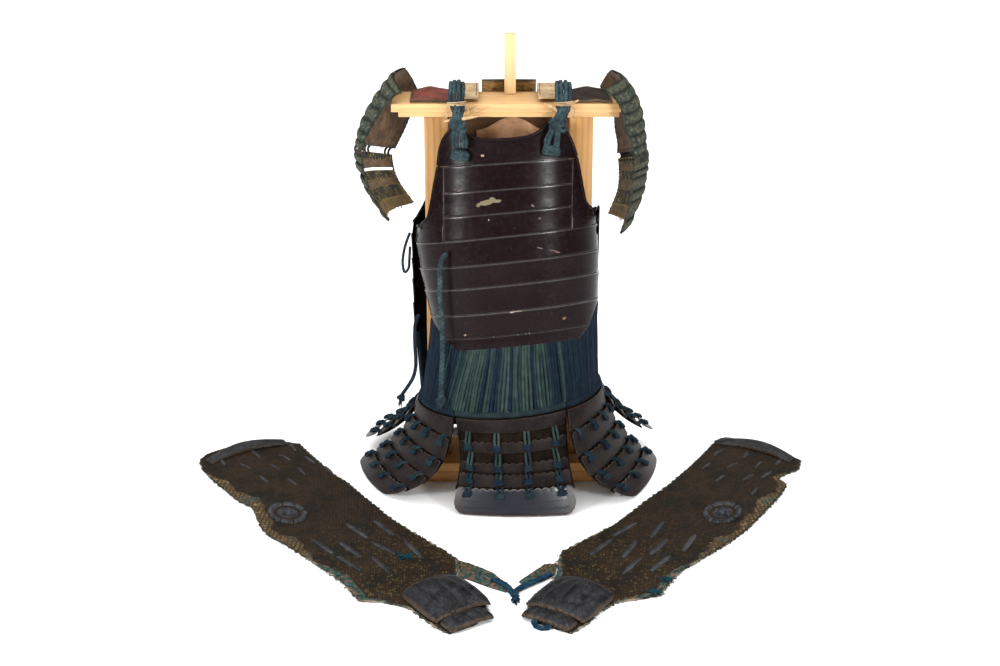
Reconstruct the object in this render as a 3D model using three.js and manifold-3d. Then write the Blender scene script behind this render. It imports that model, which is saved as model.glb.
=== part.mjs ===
// Samurai armour on a wooden armour stand, with its pair of armoured sleeves laid flat in front of it.
// Units are millimetres, +Z is up and the front of the armour faces -Y.
// The origin lies on the underside of the stand's base, midway along it and 44 behind its front edge.
import * as THREE from 'three';
import { mergeVertices } from 'three/addons/utils/BufferGeometryUtils.js';
import Module from 'manifold-3d';

const wasm = await Module();
wasm.setup();

// ---------------------------------------------------------------- driving sizes
const GAP = 0.3;
const PLATE = 2.4;
const LACQUER_LIP = 1.6;
const CLOTH = 3;
const LEATHER = 2;

const BASE = { length: 390, front: -44, back: 76, height: 37 };
const UPRIGHT = { width: 41, front: -5, back: 15, offset: 125.5 };
const BEAM = { length: 400, front: -44, back: 49, height: 14, top: 707 };
const BATTEN = { length: 376, front: -38, back: 43, height: 10 };
const POST = { side: 20, x: 2.5, y: 38, top: 811 };

const FINISHES = {
  pine: { color: 0xd9b27c, roughness: 0.6, metalness: 0 },
  lacquer: { color: 0x2b1c1b, roughness: 0.28, metalness: 0.1 },
  iron: { color: 0x34312f, roughness: 0.45, metalness: 0.7 },
  mail: { color: 0x3a2c20, roughness: 0.6, metalness: 0.5 },
  cord: { color: 0x1f4650, roughness: 0.85, metalness: 0 },
  indigo: { color: 0x16202f, roughness: 0.85, metalness: 0 },
  brocade: { color: 0x6d7166, roughness: 0.9, metalness: 0 },
  leather: { color: 0x7a4f30, roughness: 0.6, metalness: 0 },
  red_cloth: { color: 0xb4513f, roughness: 0.9, metalness: 0 },
  tan: { color: 0xc79a66, roughness: 0.6, metalness: 0 },
};

const armour = new THREE.Group();

// ---------------------------------------------------------------- making solids
const lerp = THREE.MathUtils.lerp;
const radians = THREE.MathUtils.degToRad;

function addPiece(parent, name, geometry, finish) {
  const mesh = new THREE.Mesh(geometry, new THREE.MeshStandardMaterial(FINISHES[finish]));
  mesh.name = name;
  parent.add(mesh);
  return mesh;
}

// Reads a column of a table at any place between its rows.
function readTable(table, key, column, place) {
  const last = table.length - 1;
  if (place <= table[0][key]) return table[0][column];
  if (place >= table[last][key]) return table[last][column];
  const upper = table.findIndex((row) => row[key] > place);
  const from = table[upper - 1];
  const to = table[upper];
  return lerp(from[column], to[column], (place - from[key]) / (to[key] - from[key]));
}

function meshFrom(points, faces) {
  const geometry = new THREE.BufferGeometry();
  geometry.setAttribute('position', new THREE.Float32BufferAttribute(points.flat(), 3));
  geometry.setIndex(faces);
  let volume = 0;
  for (let f = 0; f < faces.length; f += 3) {
    const [a, b, c] = [0, 1, 2].map((k) => new THREE.Vector3(...points[faces[f + k]]));
    volume += a.dot(b.cross(c));
  }
  if (volume < 0) {
    for (let f = 0; f < faces.length; f += 3) [faces[f], faces[f + 1]] = [faces[f + 1], faces[f]];
    geometry.setIndex(faces);
  }
  geometry.computeVertexNormals();
  return geometry;
}

// A closed wall between two grids of points, outer(row, column) and inner(row, column).
function wall(rows, columns, outer, inner) {
  const points = [];
  for (const side of [outer, inner]) {
    for (let i = 0; i < rows; i++) {
      for (let j = 0; j < columns; j++) points.push(side(i, j));
    }
  }
  const at = (side, i, j) => (side * rows + i) * columns + j;
  const faces = [];
  const quad = (a, b, c, d) => faces.push(a, b, c, a, c, d);
  for (let i = 0; i < rows - 1; i++) {
    for (let j = 0; j < columns - 1; j++) {
      quad(at(0, i, j), at(0, i, j + 1), at(0, i + 1, j + 1), at(0, i + 1, j));
      quad(at(1, i, j), at(1, i + 1, j), at(1, i + 1, j + 1), at(1, i, j + 1));
    }
  }
  const top = rows - 1;
  for (let j = 0; j < columns - 1; j++) {
    quad(at(0, 0, j + 1), at(0, 0, j), at(1, 0, j), at(1, 0, j + 1));
    quad(at(0, top, j), at(0, top, j + 1), at(1, top, j + 1), at(1, top, j));
  }
  const end = columns - 1;
  for (let i = 0; i < rows - 1; i++) {
    quad(at(0, i, 0), at(0, i + 1, 0), at(1, i + 1, 0), at(1, i, 0));
    quad(at(0, i + 1, end), at(0, i, end), at(1, i, end), at(1, i + 1, end));
  }
  return meshFrom(points, faces);
}

// A sheet whose middle surface is surface(u, v), given a thickness along its normal.
function sheet(rows, columns, surface, thickness, offset = 0) {
  const step = 1e-3;
  const side = (away) => (i, j) => {
    const u = i / (rows - 1);
    const v = j / (columns - 1);
    const here = new THREE.Vector3(...surface(u, v));
    const du = new THREE.Vector3(...surface(u + step, v)).sub(new THREE.Vector3(...surface(u - step, v)));
    const dv = new THREE.Vector3(...surface(u, v + step)).sub(new THREE.Vector3(...surface(u, v - step)));
    const normal = dv.cross(du).normalize();
    return here.addScaledVector(normal, offset + away).toArray();
  };
  return wall(rows, columns, side(thickness / 2), side(-thickness / 2));
}

function box(width, depth, height, x, y, bottom) {
  return new THREE.BoxGeometry(width, depth, height).translate(x, y, bottom + height / 2);
}

function tube(points, width, depth, sides, steps) {
  const curve = new THREE.CatmullRomCurve3(points.map((point) => new THREE.Vector3(...point)));
  const outline = new THREE.Shape();
  for (let k = 0; k < sides; k++) {
    const angle = (2 * Math.PI * (k + 0.5)) / sides;
    const [x, y] = [(width / 2) * Math.cos(angle), (depth / 2) * Math.sin(angle)];
    if (k === 0) outline.moveTo(x, y);
    else outline.lineTo(x, y);
  }
  outline.closePath();
  return new THREE.ExtrudeGeometry(outline, { steps, extrudePath: curve, bevelEnabled: false });
}

function solidOf(geometry) {
  const plain = geometry.clone();
  plain.deleteAttribute('normal');
  plain.deleteAttribute('uv');
  const merged = mergeVertices(plain, 1e-4);
  return new wasm.Manifold(new wasm.Mesh({
    numProp: 3,
    vertProperties: new Float32Array(merged.attributes.position.array),
    triVerts: new Uint32Array(merged.index.array),
  }));
}

function geometryOf(solid) {
  const mesh = solid.getMesh();
  const geometry = new THREE.BufferGeometry();
  geometry.setAttribute('position', new THREE.BufferAttribute(mesh.vertProperties, 3));
  geometry.setIndex(new THREE.BufferAttribute(mesh.triVerts, 1));
  geometry.computeVertexNormals();
  return geometry;
}

function joined(geometries) {
  const [first, ...rest] = geometries.map(solidOf);
  return geometryOf(rest.reduce((whole, next) => whole.add(next), first));
}

// ---------------------------------------------------------------- the wooden stand
function buildStand() {
  const depthOf = (board) => board.back - board.front;
  const middleOf = (board) => (board.back + board.front) / 2;
  const board = (name, length, plank, x, bottom, height) => {
    const geometry = box(length, depthOf(plank), height, x, middleOf(plank), bottom);
    addPiece(armour, name, geometry, 'pine');
  };
  const battenBottom = BEAM.top - BEAM.height - BATTEN.height;
  const uprightBottom = BASE.height + GAP;
  const uprightHeight = battenBottom - GAP - uprightBottom;
  board('stand_base', BASE.length, BASE, 0, 0, BASE.height);
  for (const [side, sign] of [['left', -1], ['right', 1]]) {
    board(`stand_upright_${side}`, UPRIGHT.width, UPRIGHT, sign * UPRIGHT.offset, uprightBottom, uprightHeight);
  }
  const plank = box(BEAM.length, depthOf(BEAM), BEAM.height, 0, middleOf(BEAM), BEAM.top - BEAM.height);
  const batten = box(BATTEN.length, depthOf(BATTEN), BATTEN.height + 1, 0, middleOf(BATTEN), battenBottom);
  addPiece(armour, 'stand_beam', joined([plank, batten]), 'pine');
  const postBottom = BEAM.top + GAP;
  const post = box(POST.side, POST.side, POST.top - postBottom, POST.x, POST.y, postBottom);
  addPiece(armour, 'stand_post', post, 'pine');
}

// ---------------------------------------------------------------- the cuirass
const ROUNDNESS = 2 / 2.35;
const FRONT = {
  position: [17, -28, 274],
  lean: 14.25,
  roll: 6,
  facing: -1,
  drift: 14,
  driftFrom: 193,
  driftOver: 125,
  slant: -0.04,
  sections: [
    { height: 0, halfWidth: 142, depth: 103 },
    { height: 21, halfWidth: 145, depth: 109 },
    { height: 63, halfWidth: 150, depth: 116 },
    { height: 109, halfWidth: 155, depth: 121 },
    { height: 148, halfWidth: 159, depth: 125 },
    { height: 193, halfWidth: 160, depth: 127 },
    { height: 276, halfWidth: 157, depth: 126 },
    { height: 320, halfWidth: 155, depth: 125 },
    { height: 392, halfWidth: 152, depth: 120 },
  ],
};
const BACK = {
  position: [-7, 14, 262],
  lean: 0,
  roll: 0,
  facing: 1,
  drift: 10,
  driftFrom: 193,
  driftOver: 125,
  slant: 0,
  sections: [
    { height: 0, halfWidth: 163.5, depth: 84 },
    { height: 63, halfWidth: 164, depth: 92 },
    { height: 109, halfWidth: 164.5, depth: 96 },
    { height: 193, halfWidth: 165, depth: 98 },
    { height: 280, halfWidth: 160, depth: 94 },
    { height: 340, halfWidth: 154, depth: 84 },
    { height: 400, halfWidth: 146, depth: 64 },
    { height: 470, halfWidth: 136, depth: 38 },
  ],
};
const FRONT_SEAMS = [0, 21, 63, 109, 148, 193, 233, 273, 317];
const BACK_SEAMS = [0, 63, 109, 148, 193];
const FRONT_END = 10;
// The lower edge of the front rises towards the hips.
const HIP_EDGE = [
  { across: 0, height: 0 },
  { across: 108, height: 0 },
  { across: 127, height: 21 },
  { across: 139, height: 42 },
  { across: 148, height: 62 },
];
const STRIP_SEAM = { left: -109, right: 112 };
const FRONT_ARMHOLE = [
  { height: 223, halfWidth: 150 },
  { height: 228, halfWidth: 144 },
  { height: 235, halfWidth: 138 },
  { height: 248, halfWidth: 134 },
  { height: 275, halfWidth: 129 },
  { height: 300, halfWidth: 124 },
  { height: 317, halfWidth: 120 },
];
const CHEST_TOP = [
  { across: 0, height: 357 },
  { across: 25, height: 358 },
  { across: 45, height: 361 },
  { across: 62, height: 368 },
  { across: 74, height: 378 },
  { across: 86, height: 380 },
  { across: 95, height: 375 },
  { across: 106, height: 363 },
  { across: 114, height: 346 },
  { across: 120, height: 322 },
];
const SIDE_UNDER_ARM = 217;
const BACK_ARMHOLE = [
  { height: 222, halfWidth: 156 },
  { height: 232, halfWidth: 150 },
  { height: 248, halfWidth: 143 },
  { height: 280, halfWidth: 130 },
  { height: 318, halfWidth: 120 },
];
const BACK_TOP = [
  { across: 0, height: 427 },
  { across: 40, height: 428 },
  { across: 52, height: 436 },
  { across: 96, height: 438 },
  { across: 108, height: 425 },
  { across: 114, height: 380 },
  { across: 119, height: 330 },
];
const BACK_LEFT_START = 8;
const BACK_RIGHT_START = [
  { height: 0, start: -45 },
  { height: 193, start: 2 },
];

// Share of a sprung plate's twist: above the waist its middle drifts sideways and its seams slant.
const driftAt = (half, height) => THREE.MathUtils.clamp((height - half.driftFrom) / half.driftOver, 0, 1);

// A point of a torso half at a height and an angle, 0 at its +X side and pi at its -X side.
function torsoPoint(half, height, angle, inset) {
  const halfWidth = readTable(half.sections, 'height', 'halfWidth', height) - inset;
  const depth = readTable(half.sections, 'height', 'depth', height) - inset;
  const share = driftAt(half, height);
  const cosine = Math.cos(angle);
  const sine = Math.sin(angle);
  const across = halfWidth * Math.sign(cosine) * Math.abs(cosine) ** ROUNDNESS;
  const outward = depth * Math.sign(sine) * Math.abs(sine) ** ROUNDNESS;
  return [across + half.drift * share, half.facing * outward, height + half.slant * share * across];
}

function angleAcross(half, height, across) {
  const share = Math.min(1, Math.abs(across) / readTable(half.sections, 'height', 'halfWidth', height));
  return Math.acos(Math.sign(across) * share ** (1 / ROUNDNESS));
}

function angleInward(half, height, inward) {
  const share = inward / readTable(half.sections, 'height', 'depth', height);
  return Math.asin(Math.sign(share) * Math.abs(share) ** (1 / ROUNDNESS));
}

// A plate over rows of heights, each row running between two angles.
function torsoPlate(half, rows, columns, thickness = PLATE, inset = 0) {
  const point = (depth) => (i, j) => {
    const row = rows[i];
    const angle = lerp(row.from, row.to, j / (columns - 1));
    return torsoPoint(half, row.height, angle, inset + depth - (row.lip ?? 0));
  };
  return wall(rows.length, columns, point(0), point(thickness));
}

// A plate made of upright columns, each from its bottom height to its top height.
function torsoColumns(half, columns, rows, thickness = PLATE, inset = 0) {
  const point = (depth) => (i, j) => {
    const { across, bottom, top } = columns[j];
    const height = lerp(bottom, top, i / (rows - 1));
    return torsoPoint(half, height, angleAcross(half, height, across), inset + depth);
  };
  return wall(rows, columns.length, point(0), point(thickness));
}

const mirroredAcross = (table) => [
  ...table.slice(1).reverse().map((row) => ({ ...row, across: -row.across })),
  ...table,
];

function halfGroup(half) {
  const group = new THREE.Group();
  group.position.set(...half.position);
  group.rotation.set(radians(-half.lean), radians(-half.roll), 0);
  armour.add(group);
  group.updateMatrixWorld(true);
  return group;
}

function frontRow(height, lip = 0) {
  const end = angleInward(FRONT, height, FRONT_END);
  return { height, from: end, to: Math.PI - end, lip };
}

function buildFront(group) {
  const hipRows = HIP_EDGE.slice(1).map(({ across, height }) => {
    const end = Math.max(angleAcross(FRONT, height, across), angleInward(FRONT, height, FRONT_END));
    return { height, from: end, to: Math.PI - end };
  });
  const lowest = [
    { ...hipRows[0], height: GAP / 2 },
    { ...hipRows[1], height: FRONT_SEAMS[1] - GAP / 2, lip: LACQUER_LIP },
  ];
  addPiece(group, 'front_lame_1', torsoPlate(FRONT, lowest, 19), 'lacquer');
  const second = [
    { ...hipRows[1], height: FRONT_SEAMS[1] + GAP / 2 },
    hipRows[2],
    frontRow(FRONT_SEAMS[2] - GAP / 2, LACQUER_LIP),
  ];
  addPiece(group, 'front_lame_2', torsoPlate(FRONT, second, 21), 'lacquer');
  for (let seam = 2; seam < 5; seam++) {
    const rows = [frontRow(FRONT_SEAMS[seam] + GAP / 2), frontRow(FRONT_SEAMS[seam + 1] - GAP / 2, LACQUER_LIP)];
    addPiece(group, `front_lame_${seam + 1}`, torsoPlate(FRONT, rows, 21), 'lacquer');
  }
  for (let seam = 5; seam < 8; seam++) {
    const between = (height, lip) => ({
      height,
      from: angleAcross(FRONT, height, STRIP_SEAM.right - GAP),
      to: angleAcross(FRONT, height, STRIP_SEAM.left + GAP),
      lip,
    });
    const rows = [between(FRONT_SEAMS[seam] + GAP / 2, 0), between(FRONT_SEAMS[seam + 1] - GAP / 2, LACQUER_LIP)];
    addPiece(group, `front_lame_${seam + 1}`, torsoPlate(FRONT, rows, 15), 'lacquer');
  }
  const heights = [FRONT_SEAMS[5] + GAP / 2, SIDE_UNDER_ARM, ...FRONT_ARMHOLE.map((row) => row.height - GAP / 2)];
  for (const side of ['left', 'right']) {
    const sign = side === 'left' ? -1 : 1;
    const rows = heights.map((height) => {
      const seam = angleAcross(FRONT, height, STRIP_SEAM[side] + sign * GAP);
      const armhole = sign * readTable(FRONT_ARMHOLE, 'height', 'halfWidth', height);
      const end = angleInward(FRONT, height, FRONT_END);
      const underArm = sign > 0 ? end : Math.PI - end;
      return { height, from: seam, to: height <= SIDE_UNDER_ARM ? underArm : angleAcross(FRONT, height, armhole) };
    });
    addPiece(group, `armhole_strip_${side}`, torsoPlate(FRONT, rows, 4), 'lacquer');
  }
  const chest = mirroredAcross(CHEST_TOP).map((row) => ({
    across: row.across,
    bottom: FRONT_SEAMS[8] + GAP / 2,
    top: row.height,
  }));
  addPiece(group, 'chest_plate', torsoColumns(FRONT, chest, 4), 'lacquer');
}

function backRow(height, lip = 0) {
  const right = angleInward(BACK, height, readTable(BACK_RIGHT_START, 'height', 'start', height));
  const left = angleInward(BACK, height, BACK_LEFT_START);
  return { height, from: right, to: Math.PI - left, lip };
}

function buildBack(group) {
  for (let seam = 0; seam < 4; seam++) {
    const rows = [backRow(BACK_SEAMS[seam] + GAP / 2), backRow(BACK_SEAMS[seam + 1] - GAP / 2, LACQUER_LIP)];
    addPiece(group, `back_lame_${seam + 1}`, torsoPlate(BACK, rows, 21), 'lacquer');
  }
  const sideRows = [backRow(BACK_SEAMS[4] + GAP / 2), backRow(SIDE_UNDER_ARM)];
  const armRows = BACK_ARMHOLE.map(({ height, halfWidth }) => ({
    height,
    from: angleAcross(BACK, height, halfWidth),
    to: angleAcross(BACK, height, -halfWidth),
  }));
  addPiece(group, 'back_lame_5', torsoPlate(BACK, [...sideRows, ...armRows], 17), 'lacquer');
  const columns = mirroredAcross(BACK_TOP).map((row) => ({
    across: row.across,
    bottom: BACK_ARMHOLE[BACK_ARMHOLE.length - 1].height + GAP,
    top: row.height,
  }));
  addPiece(group, 'back_plate', torsoColumns(BACK, columns, 5), 'lacquer');
}

// Leather lining panel inside the back plate, its top edge rising to a point.
const LEATHER_PANEL = { middle: 4, halfWidth: 66, bottom: 325, shoulder: 368, rise: 26, inset: 6 };
const COLLAR = { middle: -2.5, halfWidth: 47, bottom: 436.5, top: 466, inset: -1.2 };

function buildLinings(group) {
  const columns = [];
  for (let step = -4; step <= 4; step++) {
    const across = LEATHER_PANEL.middle + (step / 4) * LEATHER_PANEL.halfWidth;
    const peak = Math.cos((step / 4) * (Math.PI / 2)) ** 2;
    columns.push({ across, bottom: LEATHER_PANEL.bottom, top: LEATHER_PANEL.shoulder + LEATHER_PANEL.rise * peak });
  }
  const panel = torsoColumns(BACK, columns, 4, LEATHER, LEATHER_PANEL.inset);
  addPiece(group, 'back_leather_panel', panel, 'leather');
  const collar = [];
  for (let step = -3; step <= 3; step++) {
    collar.push({ across: COLLAR.middle + (step / 3) * COLLAR.halfWidth, bottom: COLLAR.bottom, top: COLLAR.top });
  }
  addPiece(group, 'back_collar', torsoColumns(BACK, collar, 3, CLOTH, COLLAR.inset), 'brocade');
}

// The hinge pin at the right edge, where the front and back halves meet.
const HINGE = { x: 164, y: 12, bottom: 430, height: 80, radius: 2.6 };

function buildHinge() {
  const pin = new THREE.CylinderGeometry(HINGE.radius, HINGE.radius, HINGE.height, 12);
  pin.rotateX(Math.PI / 2).translate(HINGE.x, HINGE.y, HINGE.bottom + HINGE.height / 2);
  addPiece(armour, 'side_hinge', pin, 'iron');
}

// ---------------------------------------------------------------- waist lacing and tassets
const RING = { x: 3, y: -10, z: 176, halfWidth: 160, halfDepth: 125, rise: 0.085, piping: 9 };
const CURTAIN = { thickness: 2.6, tuck: 3.8 };
const SIDE_AZIMUTH = 83;

// A point of the waist line at an azimuth in degrees, 0 at the front and growing to +X.
function ringPoint(azimuth, grow = 0) {
  const across = (RING.halfWidth + grow) * Math.sin(radians(azimuth));
  const ahead = -(RING.halfDepth + grow) * Math.cos(radians(azimuth));
  return new THREE.Vector3(RING.x + across, RING.y + ahead, RING.z + RING.rise * across);
}

// A fall of cords from behind a plate's lower edge to the waist line.
function curtain(name, half, group, edge, edgeHeight, fromAzimuth, toAzimuth) {
  const lift = new THREE.Vector3(0, 0, RING.piping / 2 + GAP);
  const point = (depth) => (i, j) => {
    const share = j / 20;
    const angle = lerp(edge.from, edge.to, share);
    const [across] = torsoPoint(half, 0, angle, 0);
    const top = new THREE.Vector3(...torsoPoint(half, edgeHeight(across), angle, CURTAIN.tuck + depth));
    top.applyMatrix4(group.matrixWorld);
    const foot = ringPoint(lerp(fromAzimuth, toAzimuth, share), -depth).add(lift);
    return foot.lerp(top, i / 2).toArray();
  };
  addPiece(armour, name, wall(3, 21, point(0), point(CURTAIN.thickness)), 'cord');
}

// Waist and floor places of each tasset's two edges, in order round the waist, with its row of lames.
const TASSETS = [
  { name: 'front', from: -37, to: 37, first: [-103, -178, 3], second: [126, -180, 3], wider: [-14, -6], loose: true },
  { name: 'front_left', from: -83, to: -38, first: [-280, 52, 3], second: [-218, -112, 3], wider: [0, 52] },
  { name: 'front_right', from: 38, to: 83, first: [222, -124, 3], second: [282, 61, 3], wider: [52, 0] },
  { name: 'side_left', from: -129, to: -84, first: [-212, 211, 25], second: [-274, 93, 25], wider: [0, 0] },
  { name: 'side_right', from: 84, to: 129, first: [279, 95, 40], second: [216, 189, 40], wider: [0, 0] },
  { name: 'back_left', from: -179.5, to: -130, first: [-4, 204, 3], second: [-150, 190, 8], wider: [0, 0] },
  { name: 'back_right', from: 130, to: 179.5, first: [156, 190, 12], second: [8, 204, 3], wider: [0, 0] },
];
const TASSET = { gatherOut: 0.3, gatherDown: 0.4, bulge: 12, lip: 4.6, corner: 0.11, web: 1.4 };
const ROLL = [
  { down: 0, outer: 2, inner: -2 },
  { down: 0.012, outer: 4.5, inner: -4.5 },
  { down: 0.034, outer: 4.5, inner: -4.5 },
  { down: 0.046, outer: 2, inner: -2 },
];
const CLOSE_LAMES = [[0.06, 0.195], [0.21, 0.395], [0.41, 0.595], [0.61, 0.795], [0.81, 1]];
const LOOSE_LAMES = [[0.06, 0.17], [0.25, 0.36], [0.45, 0.55], [0.565, 0.695], [0.71, 1]];
// Foot of the last lame: its places down and how far its corners are cut in there.
const LAST_LAME = [
  { share: 0.5, cut: 0 },
  { share: 0.8, cut: 0.25 },
  { share: 0.94, cut: 0.6 },
  { share: 1, cut: 1 },
];

// Hanging surface of a tasset: down is 0 at the waist and 1 at the foot, across is 0 to 1 along it.
function tassetSurface(row) {
  const first = new THREE.Vector3(...row.first);
  const second = new THREE.Vector3(...row.second);
  const along = second.clone().sub(first).setZ(0).normalize();
  const outward = new THREE.Vector3(along.y, -along.x, 0);
  return (down, across) => {
    const top = ringPoint(lerp(row.from, row.to, across));
    const foot = first.clone().lerp(second, across).addScaledVector(outward, TASSET.bulge * 4 * across * (1 - across));
    const spread = row.wider[1] * across ** 2 - row.wider[0] * (1 - across) ** 2;
    const knee = top.clone().lerp(foot, TASSET.gatherOut);
    knee.z = lerp(foot.z, top.z, TASSET.gatherDown);
    const near = top.clone().lerp(knee, down);
    const far = knee.clone().lerp(foot, down);
    return near.lerp(far, down).addScaledVector(along, spread * Math.sin(Math.PI * down));
  };
}

function alongNormal(surface, down, across, away) {
  const step = 1e-3;
  const du = surface(down + step, across).sub(surface(down - step, across));
  const dv = surface(down, across + step).sub(surface(down, across - step));
  const point = surface(down, across).addScaledVector(du.cross(dv).normalize(), away);
  point.z = Math.max(point.z, 0);
  return point.toArray();
}

// The rows of a tasset from its piped edge down: each lame leans out over the one above it.
function tassetRows(loose) {
  const rows = ROLL.map((row) => ({ ...row, cut: 0 }));
  const lames = loose ? LOOSE_LAMES : CLOSE_LAMES;
  const plate = (down, outer, cut = 0) => rows.push({ down, outer, inner: outer - PLATE, cut });
  lames.forEach(([top, bottom], index) => {
    if (loose && index > 0 && top - lames[index - 1][1] > 0.03) {
      plate(lames[index - 1][1] + 0.01, -TASSET.web);
      plate(top - 0.01, -TASSET.web);
    }
    plate(top, index ? TASSET.lip : 1);
    if (index < lames.length - 1) plate(bottom, 0);
    else LAST_LAME.forEach(({ share, cut }) => plate(lerp(top, bottom, share), lerp(TASSET.lip, 0, share), cut));
  });
  return rows;
}

function buildTasset(row) {
  const surface = tassetSurface(row);
  const rows = tassetRows(row.loose);
  const point = (face) => (i, j) => {
    const inset = TASSET.corner * rows[i].cut;
    return alongNormal(surface, rows[i].down, lerp(inset, 1 - inset, j / 6), rows[i][face]);
  };
  addPiece(armour, `tasset_${row.name}`, wall(rows.length, 7, point('outer'), point('inner')), 'lacquer');
}

// ---------------------------------------------------------------- shoulders
const STRAPS = [
  { side: 'left', x: -74 },
  { side: 'right', x: 72 },
];
const STRAP = {
  width: 44,
  thickness: 3.5,
  path: [[67, 688], [66, 706], [56, 717], [36, 719], [0, 716], [-34, 714]],
};
const FLAPS = [
  { side: 'left', from: -168, to: -100, finish: 'red_cloth' },
  { side: 'right', from: 100, to: 176, finish: 'leather' },
];
const FLAP = { front: -38, back: 44, bottom: 709, swell: 6 };

function buildShoulders() {
  for (const { side, x } of STRAPS) {
    const curve = new THREE.CatmullRomCurve3(STRAP.path.map(([y, z]) => new THREE.Vector3(x, y, z)));
    const face = (away) => (i, j) => {
      const point = curve.getPoint(i / 10);
      const along = curve.getTangent(i / 10);
      return [x + (j - 0.5) * STRAP.width, point.y + along.z * away, point.z - along.y * away];
    };
    addPiece(armour, `shoulder_strap_${side}`, wall(11, 2, face(0), face(STRAP.thickness)), 'leather');
  }
  for (const { side, from, to, finish } of FLAPS) {
    const surface = (u, v) => {
      const swell = FLAP.swell * Math.sin(Math.PI * v) * (0.35 + 0.65 * u);
      return [lerp(from, to, v), lerp(FLAP.front, FLAP.back, u), FLAP.bottom + swell];
    };
    addPiece(armour, `shoulder_flap_${side}`, sheet(6, 9, surface, CLOTH - 0.5), finish);
  }
}

// Each guard is a curved apron hung over an end of the beam, in an upper and a lower section.
const GUARDS = [
  {
    side: 'left', sign: -1, front: -46, depth: 131, ridge: 0.3,
    upper: [
      { x: 196, z: 748, frontIn: 15, frontDrop: 20, rearIn: 38, drop: 50, bend: 0.74 },
      { x: 211, z: 731, frontIn: 16, frontDrop: 10, rearIn: 46, drop: 48, bend: 0.74 },
      { x: 232, z: 702, frontIn: 18, frontDrop: 4, rearIn: 58, drop: 45, bend: 0.74 },
      { x: 249, z: 671, frontIn: 16, frontDrop: 2, rearIn: 64, drop: 40, bend: 0.5 },
      { x: 258, z: 645, frontIn: 14, frontDrop: 0, rearIn: 62, drop: 36, bend: 0.3 },
      { x: 261, z: 626, frontIn: 13, frontDrop: 0, rearIn: 58, drop: 31, bend: 0.2 },
    ],
    lower: [
      { x: 264, z: 617, frontIn: 14, frontDrop: 0, rearIn: 55, drop: 33, bend: 0.15 },
      { x: 262, z: 600, frontIn: 12, frontDrop: 0, rearIn: 54, drop: 28, bend: 0.15 },
      { x: 254, z: 571, frontIn: 10, frontDrop: 0, rearIn: 50, drop: 20, bend: 0.15 },
      { x: 240, z: 541, frontIn: 8, frontDrop: 0, rearIn: 46, drop: 13, bend: 0.15 },
      { x: 213, z: 501, frontIn: 6, frontDrop: 0, rearIn: 42, drop: 7, bend: 0.15 },
    ],
  },
  {
    side: 'right', sign: 1, front: -66, depth: 148, ridge: 0.42,
    upper: [
      { x: 191, z: 744, frontIn: 33, frontDrop: 6, rearIn: 30, drop: 34, bend: 0.8 },
      { x: 209, z: 724, frontIn: 29, frontDrop: 4, rearIn: 31, drop: 36, bend: 0.8 },
      { x: 222, z: 698, frontIn: 30, frontDrop: 2, rearIn: 35, drop: 38, bend: 0.8 },
      { x: 229, z: 670, frontIn: 31, frontDrop: 0, rearIn: 39, drop: 38, bend: 0.5 },
      { x: 234, z: 642, frontIn: 26, frontDrop: 0, rearIn: 39, drop: 36, bend: 0.3 },
      { x: 235, z: 619, frontIn: 22, frontDrop: 0, rearIn: 40, drop: 32, bend: 0.2 },
    ],
    lower: [
      { x: 240, z: 610, frontIn: 28, frontDrop: 0, rearIn: 43, drop: 32, bend: 0.15 },
      { x: 238, z: 580, frontIn: 26, frontDrop: 0, rearIn: 39, drop: 26, bend: 0.15 },
      { x: 230, z: 536, frontIn: 22, frontDrop: 0, rearIn: 33, drop: 18, bend: 0.15 },
      { x: 209, z: 484, frontIn: 16, frontDrop: 0, rearIn: 28, drop: 10, bend: 0.15 },
    ],
  },
];

// The ridge of a guard runs down its outermost line, and both its edges curl in from there.
function guardSurface(guard, rows) {
  const last = rows.length - 1;
  const spine = new THREE.CatmullRomCurve3(rows.map((row) => new THREE.Vector3(row.x, 0, row.z)));
  const table = rows.map((row, index) => ({ ...row, down: index / last }));
  return (u, v) => {
    const down = THREE.MathUtils.clamp(u, 0, 1);
    const line = spine.getPoint(down);
    const value = (column) => readTable(table, 'down', column, down);
    const frontShare = Math.max(0, 1 - v / guard.ridge) ** 2;
    const rearShare = Math.max(0, (v - guard.ridge) / (1 - guard.ridge)) ** 2;
    const sagShare = Math.max(0, (v - value('bend')) / (1 - value('bend'))) ** 1.5;
    const inward = value('frontIn') * frontShare + value('rearIn') * rearShare;
    const sag = value('frontDrop') * frontShare + value('drop') * sagShare;
    return [guard.sign * (line.x - inward), guard.front + guard.depth * v, line.z - sag];
  };
}

function buildShoulderGuards() {
  for (const guard of GUARDS) {
    for (const section of ['upper', 'lower']) {
      const surface = guardSurface(guard, guard[section]);
      const steps = section === 'upper' ? 9 : 7;
      const geometry = sheet(steps, 8, (u, v) => surface(lerp(0.002, 0.998, u), v), CLOTH);
      addPiece(armour, `shoulder_guard_${guard.side}_${section}`, geometry, 'brocade');
    }
  }
}

// ---------------------------------------------------------------- cords
const SHOULDER_CORDS = [
  {
    side: 'left',
    path: [
      [-88, -16, 727], [-88, -30, 737], [-88, -47, 732], [-88, -56, 713], [-87, -58, 692],
      [-86, -59, 674], [-84, -62, 655], [-83, -68, 638], [-83, -72, 626],
    ],
    knot: [-83, -71, 626],
    toggle: [[-109, -53, 682], [-53, -53, 690]],
  },
  {
    side: 'right',
    path: [
      [92, -16, 727], [92, -30, 737], [92, -47, 732], [92, -56, 713], [89, -57, 692],
      [82, -56, 676], [76, -58, 661], [73, -63, 648], [72, -68, 636],
    ],
    knot: [72, -68, 634],
    toggle: [[60, -50, 712], [106, -50, 687]],
  },
];
const SHOULDER_CORD = { width: 26, depth: 10, toggleRadius: 2.8 };

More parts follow.
